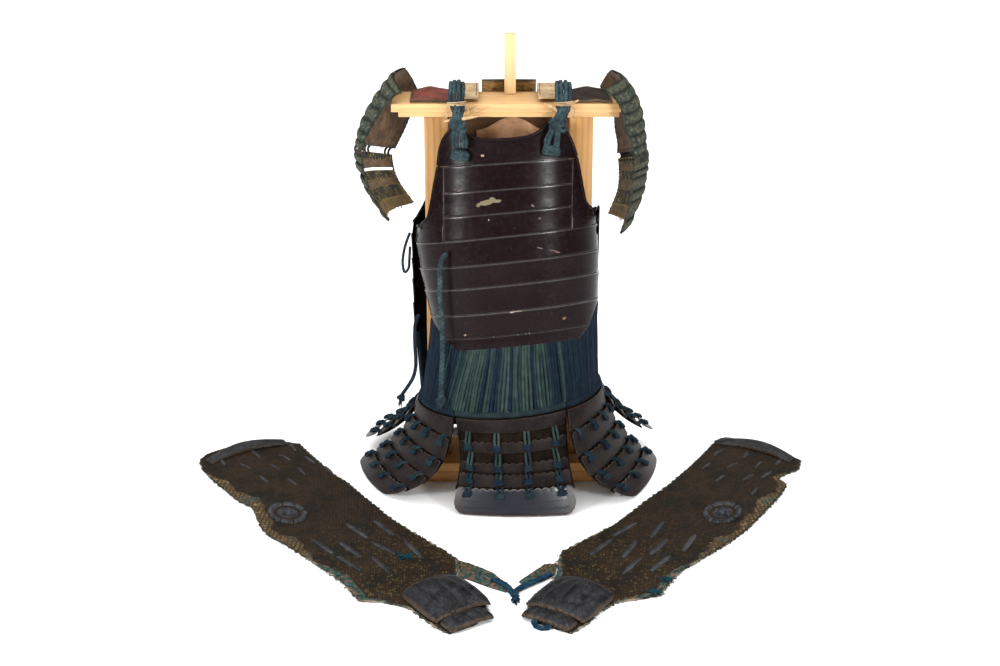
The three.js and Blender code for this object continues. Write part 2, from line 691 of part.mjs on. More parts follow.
// Free cords at the open side, each a short list of places from its fixed end to its loose end.
const SIDE_CORDS = [
  {
    name: 'side_cord_loop', diameter: 5,
    path: [
      [-175.6, 24, 456], [-181, 24, 442], [-188, 24, 414], [-189, 24, 396], [-185, 24, 382],
      [-180, 24, 388], [-177, 24, 408], [-175.6, 24, 430],
    ],
  },
  {
    name: 'side_cord_hanging', diameter: 7,
    path: [
      [-162, 12, 305], [-167, 10, 292], [-169, 9, 270], [-169, 8, 245], [-168, 8, 222],
      [-169, 9, 202], [-174, 8, 184], [-184, 4, 168], [-196, -2, 152],
    ],
  },
  {
    name: 'side_cord_front', diameter: 9,
    path: [
      [-107, -97, 457], [-113, -101, 453], [-117, -104, 440], [-118, -107, 410], [-118, -107, 375],
      [-116, -107, 340], [-115, -107, 300], [-116, -107, 260], [-118, -107, 220], [-119, -108, 192],
    ],
  },
];

function buildCords() {
  for (const { side, path, knot, toggle } of SHOULDER_CORDS) {
    const bundle = tube(path, SHOULDER_CORD.width, SHOULDER_CORD.depth, 8, 14);
    const knob = new THREE.SphereGeometry(1, 10, 7).scale(14, 6, 12).translate(...knot);
    const [from, to] = toggle.map((end) => new THREE.Vector3(...end));
    const length = from.distanceTo(to);
    const radius = SHOULDER_CORD.toggleRadius;
    const profile = [[0, 0], [radius * 0.45, 0], [radius, length * 0.5], [radius * 0.45, length], [0, length]];
    const spindle = new THREE.LatheGeometry(profile.map(([x, y]) => new THREE.Vector2(x, y)), 8);
    spindle.applyQuaternion(new THREE.Quaternion().setFromUnitVectors(
      new THREE.Vector3(0, 1, 0),
      to.clone().sub(from).normalize(),
    ));
    spindle.translate(...from.toArray());
    addPiece(armour, `shoulder_cord_${side}`, joined([bundle, knob, spindle]), 'cord');
  }
  for (const { name, diameter, path } of SIDE_CORDS) {
    addPiece(armour, name, tube(path, diameter, diameter, 8, 18), 'indigo');
  }
}

// ---------------------------------------------------------------- armoured sleeves
const SLEEVES = [
  {
    side: 'left', start: [-493, 99], heading: -55.76,
    outline: [
      { along: -20, low: -80, high: 20 }, { along: 0, low: -104, high: 60 }, { along: 39, low: -117, high: 88 },
      { along: 98, low: -121, high: 82 }, { along: 195, low: -120, high: 76 }, { along: 234, low: -112, high: 80 },
      { along: 273, low: -124, high: 77 }, { along: 312, low: -135, high: 75 }, { along: 345, low: -138, high: 74 },
      { along: 390, low: -129, high: 71 }, { along: 429, low: -125, high: 72 }, { along: 520, low: -117, high: 80 },
      { along: 560, low: -114, high: 84 }, { along: 600, low: -120, high: 86 }, { along: 628, low: -122, high: 70 },
      { along: 650, low: -94, high: 50 }, { along: 690, low: -68, high: 46 }, { along: 765, low: -66, high: 36 },
      { along: 794, low: -58, high: -6 },
    ],
    guard: { along: [655, 762], across: [-64, 48] },
    finger: { along: [764, 800], across: [-58, 26] },
    shoulder: { along: 10, across: [-96, 66] },
    rosette: [292, -73],
    loop: [[606, 84.5], [624, 94], [668, 107], [722, 105], [731, 89], [700, 76], [660, 62], [652, 53], [630, 72]],
  },
  {
    side: 'right', start: [473, 98], heading: -122.6,
    outline: [
      { along: -16, low: -70, high: 40 }, { along: 6, low: -80, high: 96 }, { along: 45, low: -76, high: 108 },
      { along: 82, low: -72, high: 94 }, { along: 100, low: -71, high: 93 }, { along: 117, low: -70, high: 117 },
      { along: 156, low: -68, high: 124 }, { along: 234, low: -66, high: 129 }, { along: 312, low: -70, high: 132 },
      { along: 371, low: -70, high: 128 }, { along: 429, low: -72, high: 119 }, { along: 507, low: -88, high: 105 },
      { along: 560, low: -98, high: 107 }, { along: 600, low: -82, high: 114 }, { along: 626, low: -66, high: 95 },
      { along: 660, low: -58, high: 64 }, { along: 702, low: -60, high: 56 }, { along: 740, low: -56, high: 60 },
      { along: 782, low: -16, high: 54 },
    ],
    guard: { along: [650, 752], across: [-52, 60] },
    finger: { along: [754, 786], across: [-40, 50] },
    shoulder: { along: 8, across: [-72, 84] },
    rosette: [287, 70],
    loop: [[602, -83.5], [612, -98], [650, -101], [684, -103], [691, -87], [656, -71], [632, -68]],
  },
];
const SLEEVE = { thickness: 5, guardRise: 24, fingerRise: 12, rosette: [44, 33, 6], shoulderWidth: 24 };

// A dome of plate over a rectangle, resting on its rim.
function plateDome({ along, across }, rise, bottom) {
  const surface = (i, j, rows, columns, drop) => {
    const u = i / (rows - 1);
    const v = j / (columns - 1);
    const swell = Math.sqrt(Math.max(0, 1 - (2 * v - 1) ** 2)) * (0.72 + 0.28 * Math.sin(Math.PI * u));
    const height = drop > 0 ? Math.max(0, rise * swell - drop) : rise * swell + 0.8;
    return [lerp(along[0], along[1], u), lerp(across[0], across[1], v), bottom + height];
  };
  return wall(5, 9, (i, j) => surface(i, j, 5, 9, 0), (i, j) => surface(i, j, 5, 9, PLATE));
}

function outlineShape(outline) {
  const shape = new THREE.Shape();
  const points = [
    ...outline.map(({ along, low }) => [along, low]),
    ...outline.slice().reverse().map(({ along, high }) => [along, high]),
  ];
  points.forEach(([x, y], index) => (index ? shape.lineTo(x, y) : shape.moveTo(x, y)));
  shape.closePath();
  return shape;
}

function loopShape(points) {
  const shape = new THREE.Shape();
  points.forEach(([x, y], index) => (index ? shape.lineTo(x, y) : shape.moveTo(x, y)));
  shape.closePath();
  return shape;
}

function buildSleeve(row) {
  const group = new THREE.Group();
  group.position.set(row.start[0], row.start[1], 0);
  group.rotation.z = radians(row.heading);
  armour.add(group);
  const flat = (shape, depth) => new THREE.ExtrudeGeometry(shape, { depth, bevelEnabled: false });
  const name = (piece) => `sleeve_${row.side}_${piece}`;
  addPiece(group, name('mail'), flat(outlineShape(row.outline), SLEEVE.thickness), 'mail');
  const top = SLEEVE.thickness + GAP;
  addPiece(group, name('hand_guard'), plateDome(row.guard, SLEEVE.guardRise, top), 'lacquer');
  addPiece(group, name('finger_plate'), plateDome(row.finger, SLEEVE.fingerRise, top), 'lacquer');
  const [long, wide, high] = SLEEVE.rosette;
  const profile = [[0, 0], [1, 0], [0.94, 0.45], [0.6, 0.8], [0.28, 1], [0, 1]];
  const disc = new THREE.LatheGeometry(profile.map(([x, y]) => new THREE.Vector2(x, y)), 20);
  disc.rotateX(Math.PI / 2).scale(long, wide, high).translate(row.rosette[0], row.rosette[1], top);
  addPiece(group, name('elbow_rosette'), disc, 'iron');
  const { along, across } = row.shoulder;
  const arch = (i, j, drop) => {
    const v = j / 8;
    const lift = 10 * Math.sin(Math.PI * v) + 3;
    const bow = -14 * Math.sin(Math.PI * v);
    return [along + bow + i * SLEEVE.shoulderWidth, lerp(across[0], across[1], v), top + (drop ? 0 : lift)];
  };
  addPiece(group, name('shoulder_plate'), wall(2, 9, (i, j) => arch(i, j, false), (i, j) => arch(i, j, true)), 'iron');
  addPiece(group, name('finger_loop'), flat(loopShape(row.loop), CLOTH), 'cord');
}

// ---------------------------------------------------------------- putting it together
buildStand();
const frontGroup = halfGroup(FRONT);
const backGroup = halfGroup(BACK);
buildFront(frontGroup);
buildBack(backGroup);
buildLinings(backGroup);
buildHinge();
const hipHeight = (across) => readTable(HIP_EDGE, 'across', 'height', Math.abs(across) + 4);
curtain('front_lacing', FRONT, frontGroup, frontRow(0), hipHeight, SIDE_AZIMUTH, -SIDE_AZIMUTH);
curtain('back_lacing', BACK, backGroup, backRow(0), () => 0, SIDE_AZIMUTH + 1, 359 - SIDE_AZIMUTH);
TASSETS.forEach(buildTasset);
buildShoulders();
buildShoulderGuards();
buildCords();
SLEEVES.forEach(buildSleeve);

export default armour;
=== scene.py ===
"""Samurai armour on its wooden stand, with a pair of mail sleeves laid flat in front of it."""
import functools
import math

import bpy
import numpy as np
from mathutils import Matrix, Vector


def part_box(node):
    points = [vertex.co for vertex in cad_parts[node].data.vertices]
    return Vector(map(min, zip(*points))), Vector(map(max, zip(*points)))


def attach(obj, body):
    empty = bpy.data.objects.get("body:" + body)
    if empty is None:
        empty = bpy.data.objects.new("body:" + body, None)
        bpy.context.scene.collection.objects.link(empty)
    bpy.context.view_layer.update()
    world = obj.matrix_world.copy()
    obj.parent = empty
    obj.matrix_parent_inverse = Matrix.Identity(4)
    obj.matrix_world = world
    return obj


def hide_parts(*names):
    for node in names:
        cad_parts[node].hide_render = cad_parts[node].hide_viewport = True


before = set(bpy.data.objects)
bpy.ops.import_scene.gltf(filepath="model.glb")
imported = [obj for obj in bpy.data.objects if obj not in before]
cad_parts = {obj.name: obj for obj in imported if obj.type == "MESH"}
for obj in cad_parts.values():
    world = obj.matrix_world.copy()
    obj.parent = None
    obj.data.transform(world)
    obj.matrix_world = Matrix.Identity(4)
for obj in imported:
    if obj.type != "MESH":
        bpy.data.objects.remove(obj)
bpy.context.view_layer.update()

bl_info = {
    "name": "Samurai Armour",
    "version": (1, 0, 0),
    "blender": (4, 5, 0),
    "location": "View3D > Sidebar > Armour",
    "description": "Builds a samurai armour on its stand, with its mail sleeves",
    "category": "Add Mesh",
}

MM = 0.001
SEED = 7

# ------------------------------------------------------------------ sizes shared with the solids, in millimetres
GAP = 0.3
PLATE = 2.4
LIP = 1.6
ROUNDNESS = 2 / 2.35
FRONT = {
    "position": (17, -28, 274), "lean": 14.25, "roll": 6, "facing": -1, "drift": 14, "slant": -0.04,
    "heights": (0, 21, 63, 109, 148, 193, 276, 320, 392),
    "half_widths": (142, 145, 150, 155, 159, 160, 157, 155, 152),
    "depths": (103, 109, 116, 121, 125, 127, 126, 125, 120),
}
BACK = {
    "position": (-7, 14, 262), "lean": 0, "roll": 0, "facing": 1, "drift": 10, "slant": 0,
    "heights": (0, 63, 109, 193, 280, 340, 400, 470),
    "half_widths": (163.5, 164, 164.5, 165, 160, 154, 146, 136),
    "depths": (84, 92, 96, 98, 94, 84, 64, 38),
}
DRIFT_FROM = 193
DRIFT_OVER = 125
FRONT_SEAMS = (0, 21, 63, 109, 148, 193, 233, 273, 317)
BACK_SEAMS = (0, 63, 109, 148, 193)
FRONT_END = 10
BACK_LEFT_START = 8
BACK_RIGHT_START = ((0, 193), (-45, 2))
HIP_EDGE = ((0, 21, 42, 62), (108, 127, 139, 148))
STRIP_SEAM = {"left": -109, "right": 112}
SIDE_UNDER_ARM = 217
FRONT_ARMHOLE = ((223, 228, 235, 248, 275, 300, 317), (150, 144, 138, 134, 129, 124, 120))
CHEST_TOP = ((0, 25, 45, 62, 74, 86, 95, 106, 114, 120), (357, 358, 361, 368, 378, 380, 375, 363, 346, 322))
BACK_ARMHOLE = ((222, 232, 248, 280, 318), (156, 150, 143, 130, 120))
BACK_TOP = ((0, 40, 52, 96, 108, 114, 119), (427, 428, 436, 438, 425, 380, 330))
LEATHER_PANEL = {"middle": 4, "half_width": 66, "bottom": 325, "shoulder": 368, "rise": 26, "inset": 6, "thick": 2}
COLLAR = {"middle": -2.5, "half_width": 47, "bottom": 436.5, "top": 466, "inset": -1.2, "thick": 3}
HINGE = {"x": 164, "y": 12, "bottom": 430, "height": 80, "radius": 2.6}
RING = {"x": 3, "y": -10, "z": 176, "half_width": 160, "half_depth": 125, "rise": 0.085, "piping": 9}
SIDE_AZIMUTH = 83
CURTAIN_TUCK = 3.8
TASSETS = (
    ("front", -37, 37, (-103, -178, 3), (126, -180, 3), (-14, -6), True),
    ("front_left", -83, -38, (-280, 52, 3), (-218, -112, 3), (0, 52), False),
    ("front_right", 38, 83, (222, -124, 3), (282, 61, 3), (52, 0), False),
    ("side_left", -129, -84, (-212, 211, 25), (-274, 93, 25), (0, 0), False),
    ("side_right", 84, 129, (279, 95, 40), (216, 189, 40), (0, 0), False),
    ("back_left", -179.5, -130, (-4, 204, 3), (-150, 190, 8), (0, 0), False),
    ("back_right", 130, 179.5, (156, 190, 12), (8, 204, 3), (0, 0), False),
)
GATHER = (0.3, 0.4)
TASSET_BULGE = 12
TASSET_LIP = 4.6
CORNER_CUT = 0.11
CLOSE_LAMES = ((0.05, 0.195), (0.21, 0.395), (0.41, 0.595), (0.61, 0.795), (0.81, 1))
LOOSE_LAMES = ((0.05, 0.17), (0.25, 0.36), (0.45, 0.55), (0.565, 0.695), (0.71, 1))
LACE_PLACES = (0.1, 0.37, 0.63, 0.9)
STRAPS = (("left", -74), ("right", 72))
STRAP_PATH = ((67, 688), (66, 706), (56, 717), (36, 719), (0, 716), (-34, 714))
STRAP_WIDTH = 44
STRAP_THICK = 3.5
FLAPS = (("left", -168, -100), ("right", 100, 176))
FLAP = {"front": -38, "back": 44, "bottom": 709, "swell": 6, "thick": 2.5}
# Each row of a guard: x, z, how far its front edge comes in and drops, the same for its rear edge, where it bends.
GUARDS = (
    {
        "side": "left", "sign": -1, "front": -46, "depth": 131, "ridge": 0.3,
        "upper": (
            (196, 748, 15, 20, 38, 50, 0.74), (211, 731, 16, 10, 46, 48, 0.74), (232, 702, 18, 4, 58, 45, 0.74),
            (249, 671, 16, 2, 64, 40, 0.5), (258, 645, 14, 0, 62, 36, 0.3), (261, 626, 13, 0, 58, 31, 0.2),
        ),
        "lower": (
            (264, 617, 14, 0, 55, 33, 0.15), (262, 600, 12, 0, 54, 28, 0.15), (254, 571, 10, 0, 50, 20, 0.15),
            (240, 541, 8, 0, 46, 13, 0.15), (213, 501, 6, 0, 42, 7, 0.15),
        ),
    },
    {
        "side": "right", "sign": 1, "front": -66, "depth": 148, "ridge": 0.42,
        "upper": (
            (191, 744, 33, 6, 30, 34, 0.8), (209, 724, 29, 4, 31, 36, 0.8), (222, 698, 30, 2, 35, 38, 0.8),
            (229, 670, 31, 0, 39, 38, 0.5), (234, 642, 26, 0, 39, 36, 0.3), (235, 619, 22, 0, 40, 32, 0.2),
        ),
        "lower": (
            (240, 610, 28, 0, 43, 32, 0.15), (238, 580, 26, 0, 39, 26, 0.15),
            (230, 536, 22, 0, 33, 18, 0.15), (209, 484, 16, 0, 28, 10, 0.15),
        ),
    },
)
GUARD_THICK = 3
SLEEVE_GRID = (361, 71)
BACKING_GRID = (41, 31)
THIN_SIDES = 6
THREAD_SIDES = 4
SHOULDER_CORDS = (
    (
        "left",
        ((-88, -16, 727), (-88, -30, 737), (-88, -47, 732), (-88, -56, 713), (-87, -58, 692),
         (-86, -59, 674), (-84, -62, 655), (-83, -68, 638), (-83, -72, 626)),
        (-83, -71, 626), ((-109, -53, 682), (-53, -53, 690)),
    ),
    (
        "right",
        ((92, -16, 727), (92, -30, 737), (92, -47, 732), (92, -56, 713), (89, -57, 692),
         (82, -56, 676), (76, -58, 661), (73, -63, 648), (72, -68, 636)),
        (72, -68, 634), ((60, -50, 712), (106, -50, 687)),
    ),
)
SIDE_CORDS = (
    ("side_cord_loop", 5, "object", "hanging",
     ((-175.6, 24, 456), (-181, 24, 442), (-188, 24, 414), (-189, 24, 396), (-185, 24, 382),
      (-180, 24, 388), (-177, 24, 408), (-175.6, 24, 430))),
    ("side_cord_hanging", 7, "knot", "hanging",
     ((-162, 12, 305), (-167, 10, 292), (-169, 9, 270), (-169, 8, 245), (-168, 8, 222),
      (-169, 9, 202), (-174, 8, 184), (-184, 4, 168), (-196, -2, 152))),
    ("side_cord_front", 9, "knot", "hanging",
     ((-107, -97, 457), (-113, -101, 453), (-117, -104, 440), (-118, -107, 410), (-118, -107, 375),
      (-116, -107, 340), (-115, -107, 300), (-116, -107, 260), (-118, -107, 220), (-119, -108, 192))),
)
SLEEVES = (
    {
        "side": "left", "start": (-493, 99), "heading": -55.76,
        "along": (-20, 0, 39, 98, 195, 234, 273, 312, 345, 390, 429, 520, 560, 600, 628, 650, 690, 765, 794),
        "low": (-80, -104, -117, -121, -120, -112, -124, -135, -138, -129, -125, -117, -114, -120, -122, -94, -68,
                -66, -58),
        "high": (20, 60, 88, 82, 76, 80, 77, 75, 74, 71, 72, 80, 84, 86, 70, 50, 46, 36, -6),
        "guard": ((655, 762), (-64, 48)), "finger": ((764, 800), (-58, 26)), "shoulder": (10, (-96, 66)),
        "rosette": (292, -73), "brocade": -1,
        "loop": ((606, 84.5), (624, 94), (668, 107), (722, 105), (731, 89), (700, 76), (660, 62), (652, 53), (630, 72)),
        "upper_splints": ((49, 67), (38, -5), (81, 33), (116, 68), (31, -72), (76, -46), (111, -2), (154, 30),
                          (171, 77), (146, -44), (183, -5)),
        "fore_splints": ((418, -5), (435, 40), (434, -82), (474, -49), (499, 0), (530, 40), (513, -75), (550, -34)),
    },
    {
        "side": "right", "start": (473, 98), "heading": -122.6,
        "along": (-16, 6, 45, 82, 100, 117, 156, 234, 312, 371, 429, 507, 560, 600, 626, 660, 702, 740, 782),
        "low": (-70, -80, -76, -72, -71, -70, -68, -66, -70, -70, -72, -88, -98, -82, -66, -58, -60, -56, -16),
        "high": (40, 96, 108, 94, 93, 117, 124, 129, 132, 128, 119, 105, 107, 114, 95, 64, 56, 60, 54),
        "guard": ((650, 752), (-52, 60)), "finger": ((754, 786), (-40, 50)), "shoulder": (8, (-72, 84)),
        "rosette": (287, 70), "brocade": 1,
        "loop": ((602, -83.5), (612, -98), (650, -101), (684, -103), (691, -87), (656, -71), (632, -68)),
        "upper_splints": ((58, -50), (43, 0), (127, -42), (101, -1), (71, 38), (39, 64), (164, 4), (133, 45),
                          (103, 69), (175, 80)),
        "fore_splints": ((434, -46), (407, 3), (514, -48), (494, -3), (461, 35), (421, 72), (545, 29), (510, 65)),
    },
)
SLEEVE_THICK = 5
GUARD_RISE = 24
FINGER_RISE = 12
ROSETTE = (44, 33, 6)


# ------------------------------------------------------------------ properties a user would change
def length(name, description, default):
    return bpy.props.FloatProperty(name=name, description=description, default=default, min=0, unit="LENGTH")


def colour(name, description, default):
    return bpy.props.FloatVectorProperty(
        name=name, description=description, default=default, size=3, min=0, max=1, subtype="COLOR"
    )


class ArmourSizes(bpy.types.PropertyGroup):
    waist_cords: bpy.props.IntProperty(
        name="Waist Cords", description="Cords that hang from the front of the cuirass", default=78, min=10
    )
    waist_cord: length("Waist Cord", "Diameter of one waist cord", 0.0056)
    lace: length("Lace", "Diameter of one of a pair of laces", 0.0048)
    scallop: length("Scallop", "Width of one scallop on a lame's upper edge", 0.0125)
    rim: length("Rim", "Radius of the rolled rims at the neck and arms", 0.0032)
    board_bevel: length("Board Bevel", "Rounding of the stand's board edges", 0.0012)
    ring_pitch: length("Ring Pitch", "Distance between rings of the mail", 0.0052)


class ArmourColours(bpy.types.PropertyGroup):
    lacquer: colour("Lacquer", "Brown-black lacquer", (0.0069, 0.0031, 0.0036))
    chip: colour("Chip", "Ground under the chipped lacquer", (0.155, 0.132, 0.077))
    iron: colour("Iron", "Dark iron", (0.01, 0.01, 0.012))
    mail: colour("Mail", "Rusted mail", (0.085, 0.05, 0.022))
    gold: colour("Gold", "Worn brass of the mail", (0.42, 0.29, 0.11))
    teal: colour("Teal", "Blue-green cord", (0.0056, 0.0142, 0.0185))
    indigo: colour("Indigo", "Dark indigo cord", (0.004, 0.009, 0.018))
    faded: colour("Faded", "Cord that light has faded", (0.0205, 0.0345, 0.03))
    brocade: colour("Brocade", "Grey-green brocade", (0.056, 0.06, 0.042))
    # Kept near black: partly the lining leather's own brown, partly painted shade inside the back plate.
    leather: colour("Leather", "Brown leather", (0.11, 0.048, 0.02))
    pale_leather: colour("Pale Leather", "Pale yellow leather", (0.44, 0.31, 0.165))
    pine: colour("Pine", "Planed pine", (0.495, 0.277, 0.102))
    pine_ring: colour("Pine Ring", "Late wood in the pine", (0.34, 0.15, 0.042))


# ------------------------------------------------------------------ shader writing
class Value:
    """An output of a material's node that takes part in Python expressions."""

    def __init__(self, finish, socket):
        self.finish = finish
        self.socket = socket

    def _sum(self, operation, *others, swap=False):
        values = (*others, self) if swap else (self, *others)
        return self.finish.node("Math", values, operation=operation)

    def __add__(self, other):
        return self._sum("ADD", other)

    def __sub__(self, other):
        return self._sum("SUBTRACT", other)

    def __rsub__(self, other):
        return self._sum("SUBTRACT", other, swap=True)

    def __mul__(self, other):
        return self._sum("MULTIPLY", other)

    def __truediv__(self, other):
        return self._sum("DIVIDE", other)

    def __pow__(self, other):
        return self._sum("POWER", other)

    __radd__ = __add__
    __rmul__ = __mul__

    def over(self, edge):
        return self._sum("GREATER_THAN", edge)

    def fraction(self):
        return self._sum("FRACT")

    def floor(self):
        return self._sum("FLOOR")

    def sine(self):
        return self._sum("SINE")

    def size(self):
        return self._sum("ABSOLUTE")

    def least(self, other):
        return self._sum("MINIMUM", other)

    def most(self, other):
        return self._sum("MAXIMUM", other)

    def between(self, low, high, smooth=True):
        kind = "SMOOTHSTEP" if smooth else "LINEAR"
        return self.finish.node("MapRange", {"Value": self, "From Min": low, "From Max": high}, interpolation_type=kind)


class Finish:
    """A material written as expressions."""

    def __init__(self, name):
        self.material = bpy.data.materials.new(name)
        self.material.use_nodes = True
        self.tree = self.material.node_tree
        self.tree.nodes.clear()

    def node(self, kind, inputs=(), output=0, stops=None, **settings):
        made = self.tree.nodes.new("ShaderNode" + kind)
        for key, value in settings.items():
            setattr(made, key, value)
        if stops:
            ramp = made.color_ramp
            while len(ramp.elements) < len(stops):
                ramp.elements.new(0.5)
            for element, (place, tone) in zip(ramp.elements, stops):
                element.position = place
                element.color = (*tone, 1)
        pairs = inputs.items() if isinstance(inputs, dict) else enumerate(inputs)
        for key, value in pairs:
            if isinstance(value, Value):
                self.tree.links.new(value.socket, made.inputs[key])
            elif isinstance(value, (tuple, list)) or hasattr(value, "hsv"):
                given = tuple(value)
                width = len(made.inputs[key].default_value)
                made.inputs[key].default_value = (*given, 1)[:width] if len(given) < width else given
            else:
                made.inputs[key].default_value = value
        return Value(self, made.outputs[output]) if made.outputs else None

    def place(self):
        return self.node("TexCoord", output="Object")

    def surface(self):
        return self.node("UVMap", uv_map="surface")

    def parts(self, vector):
        split = self.node("SeparateXYZ", (vector,))
        return [Value(self, split.socket.node.outputs[axis]) for axis in range(3)]

    def stretched(self, vector, x=1, y=1, z=1):
        return self.node("VectorMath", {0: vector, 1: (x, y, z)}, operation="MULTIPLY")

    def noise(self, at, scale, detail=3, roughness=0.5, distortion=0):
        return self.node("TexNoise", {
            "Vector": at, "Scale": scale, "Detail": detail, "Roughness": roughness, "Distortion": distortion,
        })

    def attribute(self, name):
        return self.node("Attribute", attribute_name=name, output="Fac")

    def mix(self, share, first, second):
        return self.node("Mix", {0: share, 6: first, 7: second}, output=2, data_type="RGBA")

    def darker(self, tone, share):
        return self.node("Mix", {0: 1.0, 6: tone, 7: self.grey(share)}, output=2, data_type="RGBA",
                         blend_type="MULTIPLY")

    def grey(self, value):
        return self.node("CombineColor", (value, value, value))

    def bump(self, height, distance, strength=1.0, before=None):
        inputs = {"Height": height, "Distance": distance, "Strength": strength}
        if before:
            inputs["Normal"] = before
        return self.node("Bump", inputs)

    def done(self, tone, roughness, metallic=0.0, normal=None, coat=0.0, coat_roughness=0.1, level=0.5):
        inputs = {
            "Base Color": tone, "Roughness": roughness, "Metallic": metallic, "Coat Weight": coat,
            "Coat Roughness": coat_roughness, "Specular IOR Level": level,
        }
        if normal:
            inputs["Normal"] = normal
        shader = self.node("BsdfPrincipled", inputs)
        self.node("OutputMaterial", {"Surface": shader})
        return self.material


FINISHES = {}


def finish(name):
    """The material of that name, written the first time it is asked for."""
    if name not in FINISHES:
        FINISHES[name] = WRITERS[name](Finish(name), bpy.context.scene.armour_colours, bpy.context.scene.armour_sizes)
    return FINISHES[name]


# ------------------------------------------------------------------ finishes
def boards(f, colours, sizes):
    """Planed pine: growth rings run along each board, with darker late wood."""
    place = f.place()
    x, y, z = f.parts(place)
    upright = f.attribute("grain_up")
    along = upright * z + (1 - upright) * x
    across = upright * x + (1 - upright) * z
    warp = f.noise(f.node("CombineXYZ", (along * 2.2, y * 9, across * 9)), 1.0, 3, 0.5)
    rings = ((across * 560 + y * 380 + warp * 16 + f.attribute("grain_seed") * 7).sine() * 0.5 + 0.5) ** 2.2
    fibre = f.noise(f.node("CombineXYZ", (along * 14, y * 500, across * 500)), 1.0, 3, 0.6)
    cloud = f.noise(place, 9, 3)
    tone = f.mix(rings * 0.6, tuple(colours.pine), tuple(colours.pine_ring))
    tone = f.mix(f.attribute("pale") * 0.8, tone, (0.74, 0.56, 0.31, 1))
    # A board's warm mark lifts its tone to a brighter orange: partly the base's own orange, partly painted light that
    # makes up for the tassets' shade on the base.
    tone = f.mix(f.attribute("warm") * 0.7, tone, (0.9, 0.45, 0.145, 1))
    tone = f.darker(tone, cloud * 0.3 + fibre * 0.24 + 0.72)
    normal = f.bump(rings * 0.3 + fibre * 0.7, 0.00035, 0.6)
    return f.done(tone, fibre * 0.2 + 0.4, normal=normal, level=0.3)


def chip_mask(f, u, v, places, grain):
    """Ragged ellipses at places given as across, height and their half sizes in millimetres."""
    whole = None
    for across, height, wide, high, turn in places:
        du = u - across * MM
        dv = v - height * MM
        c, s = math.cos(turn), math.sin(turn)
        reach = ((du * (c / (wide * MM)) + dv * (s / (wide * MM))) ** 2
                 + (dv * (c / (high * MM)) - du * (s / (high * MM))) ** 2)
        mask = (1.15 - reach - grain * 0.9).between(0, 0.18)
        whole = mask if whole is None else whole.most(mask)
    return whole


def lacquer_base(f, colours, u, v):
    """Aged lacquer: its tone, roughness and height, before any chips."""
    at = f.node("CombineXYZ", (u, v, f.attribute("turn")))
    cloud = f.noise(at, 14, 4, 0.55)
    dust = f.noise(at, 90, 4, 0.65)
    fine = f.noise(at, 420, 2, 0.5)
    tone = f.mix(cloud.between(0.35, 0.75), tuple(colours.lacquer), (0.0095, 0.0052, 0.006, 1))
    tone = f.mix(dust.between(0.52, 0.8) * 0.2, tone, (0.022, 0.0172, 0.0172, 1))
    roughness = cloud * 0.12 + dust.between(0.3, 0.8) * 0.16 + 0.15
    return tone, roughness, cloud * 0.6 + dust * 0.3 + fine * 0.1


def front_lacquer(f, colours, sizes):
    """Lacquer of the front plates, with its chips and scratches."""
    u, v, _ = f.parts(f.surface())
    tone, roughness, height = lacquer_base(f, colours, u, v)
    grain = f.noise(f.node("CombineXYZ", (u, v, 0.0)), 150, 4, 0.6)
    tan = chip_mask(f, u, v, ((-36, 253, 17, 5.5, 0.1), (-25, 257, 8, 5, -0.5), (-18, 254, 10, 3.5, 0.0),
                              (-49, 250, 5, 4, 0.8)), grain)
    rust = chip_mask(f, u, v, ((84, 40, 4, 2.6, 0.4),), grain)
    pale = chip_mask(f, u, v, ((-41, 332, 3.4, 2.2, 0), (-4, 62, 5.5, 1.7, 0.1), (7, 62.5, 8, 0.8, 0.05),
                               (-90, 28, 2.6, 1.4, 0.5), (-31, 224, 1.4, 1.6, 0)), grain * 0.7)
    scratch = chip_mask(f, u, v, ((54, 167, 6, 1.0, -0.35), (76, 160, 8, 0.9, -0.28), (84, 156, 5, 1.1, -0.2),
                                  (56, 218, 3, 1.4, -0.4),
                                  (44, 241, 4, 1.6, -0.7), (-82, 276, 5, 1.0, 0.1)), grain * 0.6)
    dots = f.noise(f.node("CombineXYZ", (u, v, 0.7)), 260, 1, 0.4).between(0.75, 0.78)
    wear = f.attribute("edge").between(0.6, 1) * grain.between(0.15, 0.6)
    scuff = f.noise(f.node("CombineXYZ", (u * 0.5, v * 2, 3.0)), 60, 4, 0.7).between(0.66, 0.8) * 0.3
    tone = f.mix(wear * 0.4, tone, (0.055, 0.046, 0.045, 1))
    tone = f.mix(scuff, tone, (0.04, 0.033, 0.034, 1))
    tone = f.mix(tan * 0.9, tone, tuple(colours.chip))
    tone = f.mix(rust, tone, (0.2, 0.085, 0.04, 1))
    tone = f.mix(pale * 0.7, tone, (0.42, 0.3, 0.24, 1))
    tone = f.mix(scratch * 0.6, tone, (0.24, 0.15, 0.13, 1))
    tone = f.mix(dots * 0.2, tone, (0.2, 0.17, 0.16, 1))
    bare = tan.most(pale).most(scratch).most(rust)
    normal = f.bump(height - bare * 1.2, 0.0004, 0.5)
    return f.done(tone, (roughness + bare * 0.4 + wear * 0.08).least(0.8), normal=normal,
                  coat=f.attribute("edge").between(0.6, 1) * 0.8, coat_roughness=0.25, level=0.08)


def back_lacquer(f, colours, sizes):
    """Lacquer of the back plates."""
    u, v, _ = f.parts(f.surface())
    tone, roughness, height = lacquer_base(f, colours, u, v)
    grain = f.noise(f.node("CombineXYZ", (u, v, 0.0)), 130, 4, 0.6)
    wear = f.attribute("edge").between(0.55, 1) * grain.between(0.35, 0.65)
    tone = f.mix(wear * 0.55, tone, (0.12, 0.1, 0.09, 1))
    return f.done(tone, roughness + 0.03, normal=f.bump(height, 0.0004, 0.55), level=0.08)


